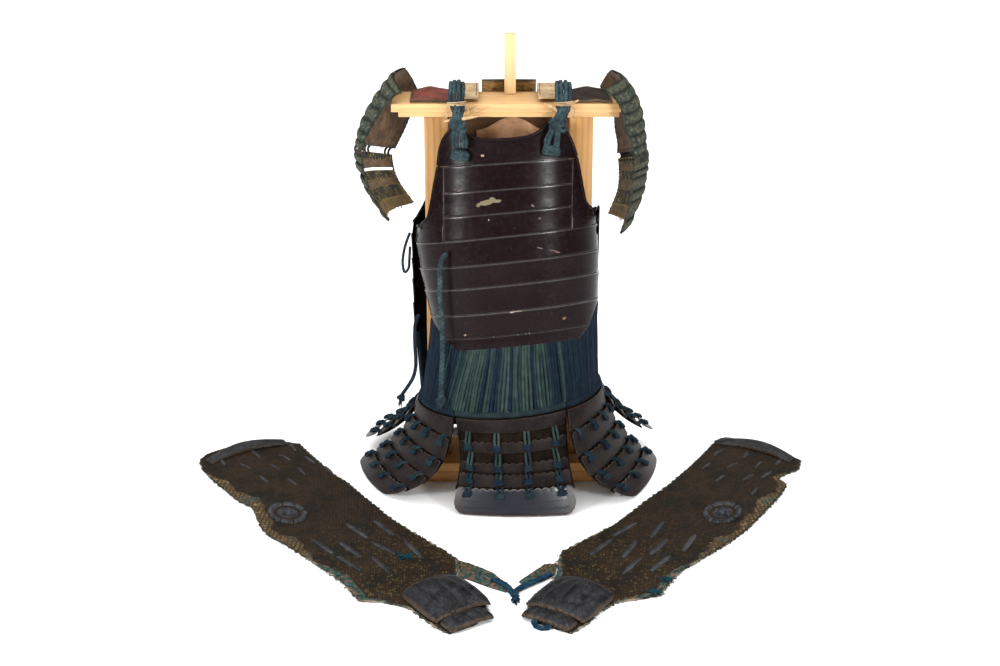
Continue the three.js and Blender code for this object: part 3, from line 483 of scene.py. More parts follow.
def inner_leather(f, colours, sizes):
    """Worn brown leather lining."""
    place = f.place()
    cloud = f.noise(place, 24, 4, 0.6)
    pores = f.node("TexVoronoi", {"Vector": place, "Scale": 420.0}, feature="DISTANCE_TO_EDGE")
    stain = f.noise(f.stretched(place, 1, 1, 3), 60, 3, 0.7)
    # The brown is kept near black: partly the lining leather's own colour, partly painted shade inside the back plate.
    tone = f.mix(cloud.between(0.3, 0.7), tuple(colours.leather), (0.15, 0.075, 0.036, 1))
    tone = f.mix(stain.between(0.5, 0.75) * 0.7, tone, (0.07, 0.04, 0.022, 1))
    return f.done(tone, cloud * 0.2 + 0.5, normal=f.bump(pores.between(0, 0.3) + stain, 0.0004, 0.5))


def arch_leather_painted_light(f, colours, sizes):
    """Tan leather of the arched panel behind the neck, painted much lighter than the lining leather: painted light on a
    panel that lies in shade under the beam.
    """
    place = f.place()
    cloud = f.noise(place, 30, 4, 0.6)
    stain = f.noise(f.stretched(place, 1, 1, 2.5), 70, 3, 0.7)
    tone = f.mix(cloud.between(0.35, 0.65), (0.8, 0.46, 0.26, 1), (0.6, 0.31, 0.16, 1))
    tone = f.mix(stain.between(0.52, 0.75) * 0.6, tone, (0.16, 0.085, 0.045, 1))
    return f.done(tone, cloud * 0.2 + 0.45, normal=f.bump(cloud + stain, 0.0005, 0.5))


def plate_inside(f, colours, sizes):
    """The unlit brown inside of the plates."""
    place = f.place()
    cloud = f.noise(place, 30, 4, 0.6)
    tone = f.mix(cloud.between(0.3, 0.7), (0.006, 0.0045, 0.004, 1), (0.016, 0.011, 0.008, 1))
    return f.done(tone, 0.8, normal=f.bump(cloud, 0.0005, 0.5), level=0.0)


def lame_lacquer(f, colours, sizes):
    """Dull, dusty lacquer of the skirt's lames, worn to brown at their edges."""
    u, v, _ = f.parts(f.surface())
    at = f.node("CombineXYZ", (u, v, f.attribute("turn")))
    cloud = f.noise(at, 22, 4, 0.6)
    dust = f.noise(at, 160, 4, 0.7)
    edge = f.attribute("edge")
    tone = f.mix(cloud.between(0.3, 0.7), (0.0068, 0.0048, 0.0045, 1), (0.0165, 0.0124, 0.0115, 1))
    tone = f.mix(dust.between(0.5, 0.74) * 0.35, tone, (0.042, 0.035, 0.033, 1))
    tone = f.mix(edge.between(0.6, 1) * dust.between(0.35, 0.6) * 0.6, tone, (0.075, 0.05, 0.04, 1))
    bumps = ((u * (2 * math.pi / sizes.scallop)).sine() * 0.5 + 0.5) ** 0.5
    normal = f.bump(cloud * 0.4 + dust * 0.35 + bumps * f.attribute("ribbed") * 0.25, 0.0007, 0.6)
    return f.done(tone, dust * 0.3 + 0.3, normal=normal, level=0.09)


def foot_lacquer(f, colours, sizes):
    """Smooth lacquer of the lowest lames. The front one has a polished field with two stamped rows, its colour tinted
    blue as a painted reflection.
    """
    u, v, _ = f.parts(f.surface())
    at = f.node("CombineXYZ", (u, v, f.attribute("turn")))
    cloud = f.noise(at, 26, 4, 0.6)
    dust = f.noise(at, 240, 4, 0.7)
    down = f.attribute("down")
    side = f.attribute("side")
    edge = f.attribute("edge")
    base = f.mix(cloud.between(0.3, 0.7), (0.007, 0.005, 0.0045, 1), (0.02, 0.015, 0.0138, 1))
    field = (side + cloud * 0.03).between(0.07, 0.11) * (down + cloud * 0.06).between(0.1, 0.17) * f.attribute("glossy")
    # The field's blue tint is a painted reflection; its gloss comes from the coat.
    tone = f.mix(field, base, (0.0095, 0.0105, 0.016, 1))
    tone = f.mix(edge.between(0.7, 1) * dust.between(0.4, 0.6) * 0.5, tone, (0.15, 0.11, 0.09, 1))
    fine = (1 - (down - 0.5).size() * 45).between(0, 1) * (u * (2 * math.pi / 0.0055)).sine().between(-0.2, 0.5)
    leaves = ((u * (1 / 0.0085) + (down - 0.25) * 9).fraction() - 0.5).size().between(0.3, 0.2)
    heavy = (1 - (down - 0.25).size() * 19).between(0, 0.6) * leaves
    rows = (fine * 0.7).most(heavy) * field
    normal = f.bump(cloud * 0.5 + dust * 0.3 - rows * 2.4, 0.0008, 0.8)
    polish = field * (1 - rows) * (dust.between(0.2, 0.7) * 0.3 + 0.7)
    return f.done(tone, dust * 0.2 + 0.26, normal=normal, coat=polish, coat_roughness=0.15, level=0.3)


def braid(f, base, other, pitch, strength=1.0):
    """A braided cord: two sets of slanted strands that cross round it."""
    along = f.attribute("along")
    around = f.attribute("around")
    first = (along * (1 / pitch) + around * 2).fraction()
    second = (along * (1 / pitch) - around * 2 + 0.5).fraction()
    one = 1 - (first - 0.5).size() * 2
    two = 1 - (second - 0.5).size() * 2
    height = one.most(two)
    tone_at = f.noise(f.place(), 70, 3, 0.6)
    fuzz = f.noise(f.place(), 1500, 2, 0.6)
    tone = f.mix(tone_at.between(0.35, 0.7), base, other)
    # Painted light and shade: the strands are lightened on their crowns and darkened in the grooves between them.
    tone = f.darker(tone, height.between(0.1, 0.8) * 0.75 + 0.45)
    tone = f.darker(tone, fuzz * 0.4 + 0.8)
    normal = f.bump(height * 0.8 + fuzz * 0.2, 0.0008 * strength, 0.8)
    return tone, normal


def teal_cord(f, colours, sizes):
    """Braided blue-green cord, paler where it has worn."""
    tone, normal = braid(f, tuple(colours.teal), (0.024, 0.05, 0.056, 1), 0.0085)
    return f.done(tone, 0.8, normal=normal, level=0.3)


def dark_cord(f, colours, sizes):
    """Dark indigo cord."""
    tone, normal = braid(f, tuple(colours.indigo), (0.011, 0.022, 0.031, 1), 0.005)
    return f.done(tone, 0.8, normal=normal, level=0.3)


def waist_cord(f, colours, sizes):
    """Cords of the waist fall, indigo at the sides and faded towards the middle."""
    share = f.attribute("tone")
    place = f.place()
    drift = f.noise(f.stretched(place, 1, 1, 0.3), 26, 3, 0.6)
    base = f.mix(share.between(0, 0.55, False), tuple(colours.indigo), tuple(colours.teal))
    base = f.mix((share + drift * 0.5 - 0.25).between(0.5, 1.05, False), base, tuple(colours.faded))
    tone, normal = braid(f, base, f.darker(base, 1.6), 0.0048)
    return f.done(tone, 0.85, normal=normal, level=0.12)


def brocade_outside(f, colours, sizes):
    """Grey-green ribbed brocade, worn to its tan ground on the ribs, with painted light on the ribs' crests and painted
    shade between them.
    """
    u, v, _ = f.parts(f.surface())
    at = f.node("CombineXYZ", (u, v, 0.0))
    cloud = f.noise(at, 26, 4, 0.6)
    wear = f.noise(at, 130, 4, 0.7)
    weft = (v * (2 * math.pi / 0.0026)).sine() * 0.5 + 0.5
    warp = (u * (2 * math.pi / 0.0019)).sine() * 0.5 + 0.5
    rib = f.attribute("rib")
    tone = f.mix(cloud.between(0.35, 0.65), tuple(colours.brocade), (0.028, 0.038, 0.036, 1))
    tone = f.mix(wear.between(0.48, 0.62) * rib * 0.75, tone, (0.15, 0.135, 0.085, 1))
    tone = f.mix(f.noise(at, 60, 3, 0.6).between(0.56, 0.66) * 0.7, tone, (0.012, 0.042, 0.042, 1))
    tone = f.mix(f.noise(f.stretched(at, 1, 1.5, 1), 45, 3, 0.6).between(0.58, 0.66) * 0.6,
                 tone, (0.016, 0.016, 0.018, 1))
    tone = f.darker(tone, weft * warp * 0.6 + 0.6)
    # Painted light and shade: the tone is lifted on the ribs' crests and falls to about a quarter in the hollows
    # between them.
    tone = f.darker(tone, rib * 1.0 + 0.28)
    normal = f.bump(weft * 0.5 + warp * 0.3 + wear * 0.6, 0.0008, 0.8)
    return f.done(tone, 0.9, normal=normal, level=0.05)


def guard_leather(f, colours, sizes):
    """Brown leather inside the guards, creased down its length and dark along its edges."""
    u, v, _ = f.parts(f.surface())
    at = f.node("CombineXYZ", (u, v, 0.0))
    cloud = f.noise(at, 20, 4, 0.65)
    crease = f.noise(f.stretched(at, 4, 1, 1), 46, 4, 0.7)
    tone = f.mix(cloud.between(0.35, 0.62), (0.075, 0.042, 0.021, 1), (0.17, 0.1, 0.048, 1))
    tone = f.mix(crease.between(0.46, 0.62) * 0.75, tone, (0.034, 0.021, 0.014, 1))
    tone = f.mix(f.attribute("hem") * 0.8, tone, (0.04, 0.03, 0.022, 1))
    return f.done(tone, cloud * 0.2 + 0.5, normal=f.bump(crease + cloud, 0.0009, 0.7))


def gilt_mail(f, colours, sizes):
    """The guards' lower lames from inside: dark green cloth and gilt mail in fine upright lines."""
    u, v, _ = f.parts(f.surface())
    at = f.node("CombineXYZ", (u, v, 0.0))
    cloud = f.noise(at, 34, 3, 0.6)
    spark = f.noise(at, 240, 3, 0.7)
    line = (u * (2 * math.pi / 0.0042)).sine() * 0.5 + 0.5
    rung = (v * (2 * math.pi / 0.0036)).sine() * 0.5 + 0.5
    hem = f.attribute("hem")
    tone = f.mix(cloud.between(0.42, 0.58), (0.012, 0.02, 0.009, 1), (0.035, 0.026, 0.011, 1))
    tone = f.mix(f.attribute("rust") * 0.8, tone, (0.085, 0.032, 0.01, 1))
    worn = f.noise(f.stretched(at, 3, 1, 1), 55, 3, 0.6).between(0.44, 0.6)
    shown = (spark.between(0.42, 0.58) * worn + hem * 0.8 + f.attribute("rust") * 0.35).least(1)
    gilt = line * (rung * 0.5 + 0.5) * shown
    tone = f.mix(gilt, tone, (0.85, 0.58, 0.19, 1))
    tone = f.darker(tone, line * 0.8 + 0.3)
    return f.done(tone, 0.5, metallic=gilt * 0.6, normal=f.bump(line + rung * 0.5, 0.0012, 0.9))


def tan_band(f, colours, sizes):
    """Bands of tan leather across the guards' lower sections."""
    u, v, _ = f.parts(f.surface())
    at = f.node("CombineXYZ", (u, v, 0.0))
    cloud = f.noise(at, 60, 4, 0.6)
    tone = f.mix(cloud.between(0.35, 0.65), (0.2, 0.125, 0.07, 1), (0.11, 0.068, 0.04, 1))
    tone = f.mix(f.attribute("hem"), tone, (0.06, 0.04, 0.025, 1))
    return f.done(tone, 0.6, normal=f.bump(cloud, 0.0006, 0.6))


def mail(f, colours, sizes):
    """Rows of small rusted rings, every other one turned, with gold-coloured specks on them, most of them near the
    hand.
    """
    u, v, _ = f.parts(f.surface())
    pitch = sizes.ring_pitch
    row = (v * (1 / (pitch * 0.86))).floor()
    shift = (row * 0.5).fraction()
    du = (u * (1 / pitch) + shift).fraction() - 0.5
    dv = (v * (1 / (pitch * 0.86))).fraction() - 0.5
    reach = (du * du + dv * dv) ** 0.5
    ring = (1 - (reach - 0.33).size() * 6).between(0, 1)
    cell = f.node("CombineXYZ", ((u * (1 / pitch) + shift).floor(), row, 0.0))
    chance = f.node("TexWhiteNoise", {"Vector": cell}, noise_dimensions="3D")
    at = f.node("CombineXYZ", (u, v, 0.0))
    cloud = f.noise(at, 16, 4, 0.6)
    patch = f.noise(at, 55, 4, 0.7)
    near_hand = u.between(0.3, 0.66)
    streak = f.noise(f.stretched(at, 1, 7, 1), 34, 4, 0.7)
    steel = f.mix(cloud.between(0.35, 0.62), (0.022, 0.016, 0.009, 1), tuple(colours.mail))
    steel = f.mix(patch.between(0.5, 0.62) * 0.8, steel, (0.12, 0.052, 0.017, 1))
    steel = f.mix((1 - cloud).between(0.54, 0.64) * 0.6, steel, (0.03, 0.034, 0.024, 1))
    steel = f.mix(streak.between(0.5, 0.62) * (1 - near_hand * 0.7) * 0.75, steel, (0.012, 0.009, 0.006, 1))
    speckle = f.noise(at, 150, 2, 0.6)
    gold_specks = chance.between(0.6, 0.85) * speckle.between(0.46, 0.56) * (near_hand * 0.55 + 0.1)
    tone = f.mix(gold_specks, steel, tuple(colours.gold))
    tone = f.mix(1 - ring, tone, (0.004, 0.003, 0.002, 1))
    normal = f.bump(ring * 1.2 + patch * 0.7, 0.0018, 1.0)
    return f.done(tone, cloud * 0.2 + 0.5, normal=normal, level=0.12)


def sleeve_cloth(f, colours, sizes):
    """Golden-brown figured cloth of the sleeves' puffed edges, and teal cloth where tone is one."""
    u, v, _ = f.parts(f.surface())
    at = f.node("CombineXYZ", (u, v, 0.0))
    fret = ((u * (2 * math.pi / 0.012)).sine() * (v * (2 * math.pi / 0.01)).sine()).between(0.1, 0.45)
    patch = f.noise(at, 40, 4, 0.7)
    thread = f.noise(at, 700, 2, 0.5)
    tone = f.mix(fret, (0.036, 0.026, 0.014, 1), (0.13, 0.09, 0.045, 1))
    tone = f.mix(patch.between(0.47, 0.6), tone, (0.05, 0.036, 0.022, 1))
    tone = f.mix(patch.between(0.4, 0.33), tone, (0.22, 0.15, 0.08, 1))
    teal = f.mix(f.noise(at, 130, 4, 0.7).between(0.4, 0.58), (0.008, 0.022, 0.021, 1), (0.042, 0.07, 0.06, 1))
    teal = f.mix(f.noise(at, 70, 3, 0.6).between(0.5, 0.62), teal, (0.13, 0.07, 0.05, 1))
    tone = f.mix(f.attribute("tone"), tone, teal)
    tone = f.darker(tone, thread * 0.8 + 0.55)
    return f.done(tone, 0.92, normal=f.bump(thread + fret * 0.6 + patch, 0.0009, 0.8), level=0.05)


def sleeve_iron(f, colours, sizes):
    """Dark iron of the splints and the hinge, mottled with bluish grey and rust brown."""
    place = f.place()
    cloud = f.noise(place, 60, 4, 0.65)
    grit = f.noise(place, 420, 3, 0.6)
    tone = f.mix(cloud.between(0.35, 0.65), tuple(colours.iron), (0.038, 0.039, 0.044, 1))
    tone = f.mix(grit.between(0.52, 0.7) * 0.6, tone, (0.04, 0.027, 0.018, 1))
    return f.done(tone, cloud * 0.25 + 0.3, metallic=0.3, normal=f.bump(grit + cloud, 0.0006, 0.7), level=0.2)


def rosette_iron(f, colours, sizes):
    """Nearly black, rusted iron of the rosettes."""
    place = f.place()
    cloud = f.noise(place, 80, 4, 0.65)
    grit = f.noise(place, 420, 3, 0.6)
    tone = f.mix(cloud.between(0.35, 0.65), (0.01, 0.011, 0.013, 1), (0.036, 0.039, 0.046, 1))
    tone = f.mix(grit.between(0.56, 0.7) * 0.6, tone, (0.05, 0.034, 0.02, 1))
    return f.done(tone, cloud * 0.25 + 0.4, metallic=0.3, normal=f.bump(grit + cloud, 0.0008, 0.8), level=0.25)


def hand_lacquer(f, colours, sizes):
    """Chipped black lacquer of the hand plates, cracked and rusted along their edges."""
    place = f.place()
    cloud = f.noise(place, 46, 4, 0.65)
    grit = f.noise(place, 260, 3, 0.65)
    edge = f.attribute("edge")
    crack = f.node("TexVoronoi", {"Vector": f.stretched(place, 1, 1, 0.4), "Scale": 70.0}, feature="DISTANCE_TO_EDGE")
    tone = f.mix(cloud.between(0.35, 0.65), (0.0045, 0.0042, 0.0046, 1), (0.0165, 0.0175, 0.0205, 1))
    tone = f.mix((edge + grit * 0.9 - 0.6).between(0.25, 0.7) * 0.8, tone, (0.05, 0.034, 0.022, 1))
    tone = f.mix(grit.between(0.6, 0.72) * cloud.between(0.45, 0.7), tone, (0.12, 0.07, 0.05, 1))
    tone = f.mix(f.noise(place, 120, 3, 0.6).between(0.68, 0.73) * 0.5, tone, (0.14, 0.12, 0.11, 1))
    tone = f.darker(tone, crack.between(0, 0.05) * 0.6 + 0.4)
    normal = f.bump(grit + cloud * 1.5 + crack.between(0, 0.06), 0.0009, 0.7)
    return f.done(tone, cloud * 0.2 + 0.3, metallic=0.05, normal=normal, level=0.14)


def pale_leather(f, colours, sizes):
    """Pale yellow leather of the shoulder straps."""
    place = f.place()
    cloud = f.noise(place, 40, 4, 0.6)
    pores = f.noise(place, 700, 2, 0.6)
    tone = f.mix(cloud.between(0.35, 0.65), tuple(colours.pale_leather), (0.3, 0.19, 0.085, 1))
    tone = f.mix(f.noise(place, 90, 3, 0.6).between(0.52, 0.66) * 0.7, tone, (0.13, 0.08, 0.045, 1))
    return f.done(tone, 0.6, normal=f.bump(pores + cloud, 0.0004, 0.5))


def collar_cloth(f, colours, sizes):
    """Golden-brown worn cloth in long threads, bound in dark grey-green along its top."""
    u, v, _ = f.parts(f.surface())
    at = f.node("CombineXYZ", (u, v, 0.0))
    slub = f.noise(f.stretched(at, 1, 5, 1), 60, 4, 0.7)
    thread = f.noise(at, 700, 2, 0.5)
    tone = f.mix(slub.between(0.4, 0.6), (0.2, 0.11, 0.04, 1), (0.46, 0.28, 0.1, 1))
    tone = f.mix(f.noise(at, 60, 3).between(0.55, 0.7) * 0.5, tone, (0.13, 0.12, 0.07, 1))
    tone = f.mix(f.attribute("edge"), tone, (0.03, 0.038, 0.035, 1))
    tone = f.darker(tone, thread * 0.6 + 0.65)
    return f.done(tone, 0.9, normal=f.bump(thread + slub * 2, 0.0008, 0.7), level=0.2)


def plain_cloth(first, second, edge):
    """A writer of worn plain cloth in two tones with a bound edge."""
    def write(f, colours, sizes):
        u, v, _ = f.parts(f.surface())
        at = f.node("CombineXYZ", (u, v, 0.0))
        weave = (u * (2 * math.pi / 0.0016)).sine() * (v * (2 * math.pi / 0.0016)).sine()
        cloud = f.noise(at, 38, 4, 0.6)
        tone = f.mix(cloud.between(0.35, 0.65), first, second)
        tone = f.mix(f.attribute("edge"), tone, edge)
        tone = f.darker(tone, weave * 0.25 + 0.85)
        return f.done(tone, 0.9, normal=f.bump(weave * 0.5 + cloud, 0.0007, 0.7), level=0.2)
    return write


def dull_thread(f, colours, sizes):
    """Faded thread of the guards' edges: dark, or pale where tone is one."""
    cloud = f.noise(f.place(), 90, 3, 0.6)
    tone = f.mix(cloud.between(0.4, 0.6), (0.016, 0.02, 0.018, 1), (0.05, 0.045, 0.032, 1))
    tone = f.mix(f.attribute("tone").between(0.5, 1.2), tone, (0.22, 0.19, 0.14, 1))
    return f.done(tone, 0.9, level=0.05)


def blue_thread(f, colours, sizes):
    """Blue cord of the loose ends by the hands, and blue-green where tone is one."""
    cloud = f.noise(f.place(), 120, 3, 0.6)
    tone = f.mix(cloud.between(0.4, 0.6), (0.005, 0.016, 0.032, 1), (0.011, 0.036, 0.058, 1))
    tone = f.mix(f.attribute("tone").between(0.4, 1), tone, (0.008, 0.036, 0.038, 1))
    return f.done(tone, 0.9, level=0.05)


def toggle_wood(f, colours, sizes):
    """Turned pale wood of the toggles."""
    place = f.place()
    grain = f.noise(f.stretched(place, 60, 400, 400), 1.0, 3, 0.6)
    tone = f.mix(grain.between(0.35, 0.65), (0.5, 0.33, 0.16, 1), (0.3, 0.17, 0.07, 1))
    return f.done(tone, 0.45, normal=f.bump(grain, 0.0003, 0.4))


def floor_paint(f, colours, sizes):
    """The pale floor."""
    return f.done((0.92, 0.92, 0.92, 1), 0.95, level=0.0)


WRITERS = {
    "pine": boards,
    "front_lacquer": front_lacquer,
    "back_lacquer": back_lacquer,
    "inner_leather": inner_leather,
    "arch_leather_painted_light": arch_leather_painted_light,
    "plate_inside": plate_inside,
    "lame_lacquer": lame_lacquer,
    "foot_lacquer": foot_lacquer,
    "teal_cord": teal_cord,
    "dark_cord": dark_cord,
    "waist_cord": waist_cord,
    "brocade": brocade_outside,
    "guard_leather": guard_leather,
    "gilt_mail": gilt_mail,
    "tan_band": tan_band,
    "mail": mail,
    "sleeve_cloth": sleeve_cloth,
    "sleeve_iron": sleeve_iron,
    "rosette_iron": rosette_iron,
    "hand_lacquer": hand_lacquer,
    "pale_leather": pale_leather,
    "collar_cloth": collar_cloth,
    "red_cloth": plain_cloth((0.22, 0.05, 0.036, 1), (0.11, 0.04, 0.028, 1), (0.06, 0.045, 0.025, 1)),
    "dark_cloth": plain_cloth((0.013, 0.008, 0.006, 1), (0.035, 0.022, 0.014, 1), (0.1, 0.07, 0.042, 1)),
    "dull_thread": dull_thread,
    "blue_thread": blue_thread,
    "toggle_wood": toggle_wood,
    "floor_paint": floor_paint,
}


# ------------------------------------------------------------------ shapes
def smooth(places, values, at):
    """A smooth curve through a table, read at any place between its ends."""
    places = np.asarray(places, float)
    values = np.asarray(values, float)
    slopes = np.gradient(values, places)
    at = np.clip(at, places[0], places[-1])
    k = np.clip(np.searchsorted(places, at, side="right") - 1, 0, len(places) - 2)
    step = places[k + 1] - places[k]
    t = (at - places[k]) / step
    return ((2 * t**3 - 3 * t**2 + 1) * values[k] + (t**3 - 2 * t**2 + t) * step * slopes[k]
            + (3 * t**2 - 2 * t**3) * values[k + 1] + (t**3 - t**2) * step * slopes[k + 1])


def curve_through(points, count):
    """Evenly spaced points on a smooth curve through the given ones."""
    points = np.asarray(points, float)
    places = np.concatenate([[0], np.cumsum(np.linalg.norm(np.diff(points, axis=0), axis=1))])
    dense = np.linspace(0, places[-1], count * 8)
    line = np.stack([smooth(places, points[:, k], dense) for k in range(3)], axis=-1)
    reach = np.concatenate([[0], np.cumsum(np.linalg.norm(np.diff(line, axis=0), axis=1))])
    even = np.linspace(0, reach[-1], count)
    return np.stack([np.interp(even, reach, line[:, k]) for k in range(3)], axis=-1)


def unit(vectors):
    return vectors / np.maximum(np.linalg.norm(vectors, axis=-1, keepdims=True), 1e-9)


class Shape:
    """Collects closed lofts and tubes in millimetres, and makes one piece of them."""

    def __init__(self):
        self.points = []
        self.faces = []
        self.corners = []
        self.slots = []
        self.marks = {}
        self.count = 0

    def loft(self, sections, surface=None, slot=0, marks=None, inner_slot=None, inner_from=None, closed=False):
        """Joins n loops of m points. Loops close round, and the ends are capped unless the loft closes too."""
        sections = np.asarray(sections, float)
        n, m, _ = sections.shape
        if surface is None:
            along = np.concatenate([[0], np.cumsum(np.linalg.norm(np.diff(sections.mean(1), axis=0), axis=1))])
            around = np.linspace(0, 1, m + 1)
            surface = np.stack(np.broadcast_arrays(along[:, None], around[None, :] * 20), axis=-1)
        elif surface.shape[1] == m:
            surface = np.concatenate([surface, surface[:, :1]], axis=1)
        start = self.count
        index = np.arange(n * m).reshape(n, m) + start
        rows = range(n if closed else n - 1)
        faces, corners, slots = [], [], []
        for i in rows:
            k = (i + 1) % n
            for j in range(m):
                l = (j + 1) % m
                faces.append((index[i, j], index[i, l], index[k, l], index[k, j]))
                corners.extend((surface[i, j], surface[i, j + 1], surface[k, j + 1], surface[k, j]))
                inner = inner_from is not None and inner_from <= j < m - 1
                slots.append(inner_slot if inner else slot)
        if not closed:
            for i, order in ((0, range(m - 1, -1, -1)), (n - 1, range(m))):
                faces.append(tuple(index[i, j] for j in order))
                corners.extend(surface[i, j] for j in order)
                slots.append(slot)
        volume = 0.0
        flat = sections.reshape(-1, 3)
        centre = flat.mean(0)
        for face in faces[: (n - 1) * m]:
            a, b, c, d = (flat[v - start] - centre for v in face)
            volume += a @ np.cross(b, c) + a @ np.cross(c, d)
        if volume < 0:
            turned, spot = [], 0
            for position, face in enumerate(faces):
                size = len(face)
                turned.extend(reversed(corners[spot:spot + size]))
                faces[position] = tuple(reversed(face))
                spot += size
            corners = turned
        self.points.append(flat)
        self.faces.extend(faces)
        self.corners.extend(corners)
        self.slots.extend(slots)
        for name in set(self.marks) | set(marks or {}):
            column = self.marks.setdefault(name, [np.zeros(self.count)] if self.count else [])
            value = (marks or {}).get(name, 0.0)
            column.append(np.broadcast_to(np.asarray(value, float), (n, m)).reshape(-1))
        self.count += n * m
        return self

    def tube(self, path, radius, sides=10, slot=0, squash=(1, 1), side=(0, 0, 1), marks=None, ends=True,
             waisted=False):
        """A round or squashed rod along a path, with small rounded ends. A waisted one is a cord laid double."""
        path = np.asarray(path, float)
        radii = np.broadcast_to(np.asarray(radius, float), (len(path),)).copy()
        along = unit(np.gradient(path, axis=0))
        first = unit(np.cross(along, np.broadcast_to(np.asarray(side, float), along.shape)))
        second = np.cross(along, first)
        if ends:
            lead, tail = path[0] - along[0] * radii[0] * 0.5, path[-1] + along[-1] * radii[-1] * 0.5
            path = np.concatenate([[lead], path, [tail]])
            radii = np.concatenate([[radii[0] * 0.55], radii, [radii[-1] * 0.55]])
            first = np.concatenate([first[:1], first, first[-1:]])
            second = np.concatenate([second[:1], second, second[-1:]])
        angle = np.arange(sides) / sides * 2 * np.pi
        if waisted:
            radii = radii[:, None] * (0.55 + 0.45 * np.abs(np.cos(angle)))[None, :]
        else:
            radii = radii[:, None] * np.ones(sides)[None, :]
        loops = (path[:, None] + first[:, None] * (np.cos(angle)[None, :] * radii * squash[0])[..., None]
                 + second[:, None] * (np.sin(angle)[None, :] * radii * squash[1])[..., None])
        reach = np.concatenate([[0], np.cumsum(np.linalg.norm(np.diff(path, axis=0), axis=1))])
        given = dict(marks or {})
        given["along"] = (reach * MM)[:, None]
        given["around"] = (np.arange(sides) / sides)[None, :]
        return self.loft(loops, slot=slot, marks=given)

    def piece(self, name, *materials, angle=40):
        """Makes the mesh object, in metres, with its surface map and its marks."""
        mesh = bpy.data.meshes.new(name)
        mesh.from_pydata((np.concatenate(self.points) * MM).tolist(), [], [tuple(map(int, f)) for f in self.faces])
        layer = mesh.uv_layers.new(name="surface")
        layer.data.foreach_set("uv", (np.asarray(self.corners, float)[:, :2] * MM).astype(np.float32).ravel())
        for mark, columns in self.marks.items():
            data = mesh.attributes.new(mark, "FLOAT", "POINT")
            data.data.foreach_set("value", np.concatenate(columns).astype(np.float32))
        for material in materials:
            mesh.materials.append(finish(material))
        mesh.polygons.foreach_set("material_index", np.asarray(self.slots, np.int32))
        mesh.polygons.foreach_set("use_smooth", np.ones(len(mesh.polygons), bool))
        mesh.set_sharp_from_angle(angle=math.radians(angle))
        mesh.update()
        made = bpy.data.objects.new(name, mesh)
        bpy.context.scene.collection.objects.link(made)
        return made


def place_piece(made, slot, *nodes):
    """Settles a finished piece on its body and hides the solids it stands for. The slot is not used."""
    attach(made, "root")
    if nodes:
        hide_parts(*nodes)
    return made


# ------------------------------------------------------------------ the cuirass
def turned_by(half):
    """The matrix that leans and rolls a half of the cuirass into place, in millimetres."""
    lean = Matrix.Rotation(math.radians(-half["lean"]), 4, "X")
    roll = Matrix.Rotation(math.radians(-half["roll"]), 4, "Y")
    return np.array(Matrix.Translation(half["position"]) @ lean @ roll)


def torso_point(half, height, angle, inset):
    """Points of a half of the cuirass, 0 at its +X side and pi at its -X side."""
    height, angle, inset = np.broadcast_arrays(*(np.asarray(a, float) for a in (height, angle, inset)))
    wide = smooth(half["heights"], half["half_widths"], height) - inset
    deep = smooth(half["heights"], half["depths"], height) - inset
    share = np.clip((height - DRIFT_FROM) / DRIFT_OVER, 0, 1)
    c, s = np.cos(angle), np.sin(angle)
    across = wide * np.sign(c) * np.abs(c) ** ROUNDNESS
    out = deep * np.sign(s) * np.abs(s) ** ROUNDNESS
    local = np.stack([across + half["drift"] * share, half["facing"] * out, height + half["slant"] * share * across,
                      np.ones_like(across)], axis=-1)
    return (local @ turned_by(half).T)[..., :3]


def angle_across(half, height, across):
    share = np.minimum(1, np.abs(across) / smooth(half["heights"], half["half_widths"], height))
    return np.arccos(np.sign(across) * share ** (1 / ROUNDNESS))


def angle_inward(half, height, inward):
    share = inward / smooth(half["heights"], half["depths"], height)
    return np.arcsin(np.sign(share) * np.abs(share) ** (1 / ROUNDNESS))


def across_of(half, height, angle):
    wide = smooth(half["heights"], half["half_widths"], height)
    c = np.cos(angle)
    return wide * np.sign(c) * np.abs(c) ** ROUNDNESS


# Loop round a plate's section: the share of its height, the share of its thickness, and how near an edge it is.
SECTION = (
    (0.0, 0.35, 0.9), (0.006, 0.08, 1.0), (0.03, 0.0, 0.7), (0.12, 0.0, 0.1), (0.3, 0.0, 0), (0.5, 0.0, 0),
    (0.7, 0.0, 0), (0.86, 0.0, 0.1), (0.955, 0.0, 0.8), (0.985, 0.04, 1.0), (1.0, 0.3, 1.0), (1.0, 0.7, 0.6),
    (0.98, 1.0, 0), (0.7, 1.0, 0), (0.5, 1.0, 0), (0.3, 1.0, 0), (0.02, 1.0, 0), (0.0, 0.75, 0),
)
INNER_FROM = 11


def plate_of(shape, half, low, high, start, end, columns, lip=LIP, thick=PLATE, inset=0, slots=(0, 1), turn=0):
    """A lame: low and high are functions of the share across, start and end give the angles at a height."""
    share, depth, edge = (np.array(column) for column in zip(*SECTION))
    across = np.linspace(0, 1, columns)
    bottom, top = low(across), high(across)
    height = bottom[:, None] + (top - bottom)[:, None] * share[None, :]
    first, last = start(height), end(height)
    angle = first + (last - first) * across[:, None]
    rise = np.clip((share - 0.25) / 0.75, 0, 1) ** 1.6
    points = torso_point(half, height, angle, inset + thick * depth[None, :] - lip * rise[None, :])
    surface = np.stack([across_of(half, height, angle), height], axis=-1)
    side_edge = np.clip(1 - np.minimum(across, 1 - across)[:, None] * columns / 2.5, 0, 1)
    marks = {"edge": np.maximum(edge[None, :], side_edge * (depth < 0.5)[None, :]), "turn": turn}
    shape.loft(points, surface, slot=slots[0], marks=marks, inner_slot=slots[1], inner_from=INNER_FROM)
    return points


def level(height):
    return lambda across: np.full_like(across, height)


def front_start(height):
    across = np.interp(height, *HIP_EDGE)
    hip = np.where(height < HIP_EDGE[0][-1], angle_across(FRONT, height, across), 0)
    return np.maximum(hip, angle_inward(FRONT, height, FRONT_END))


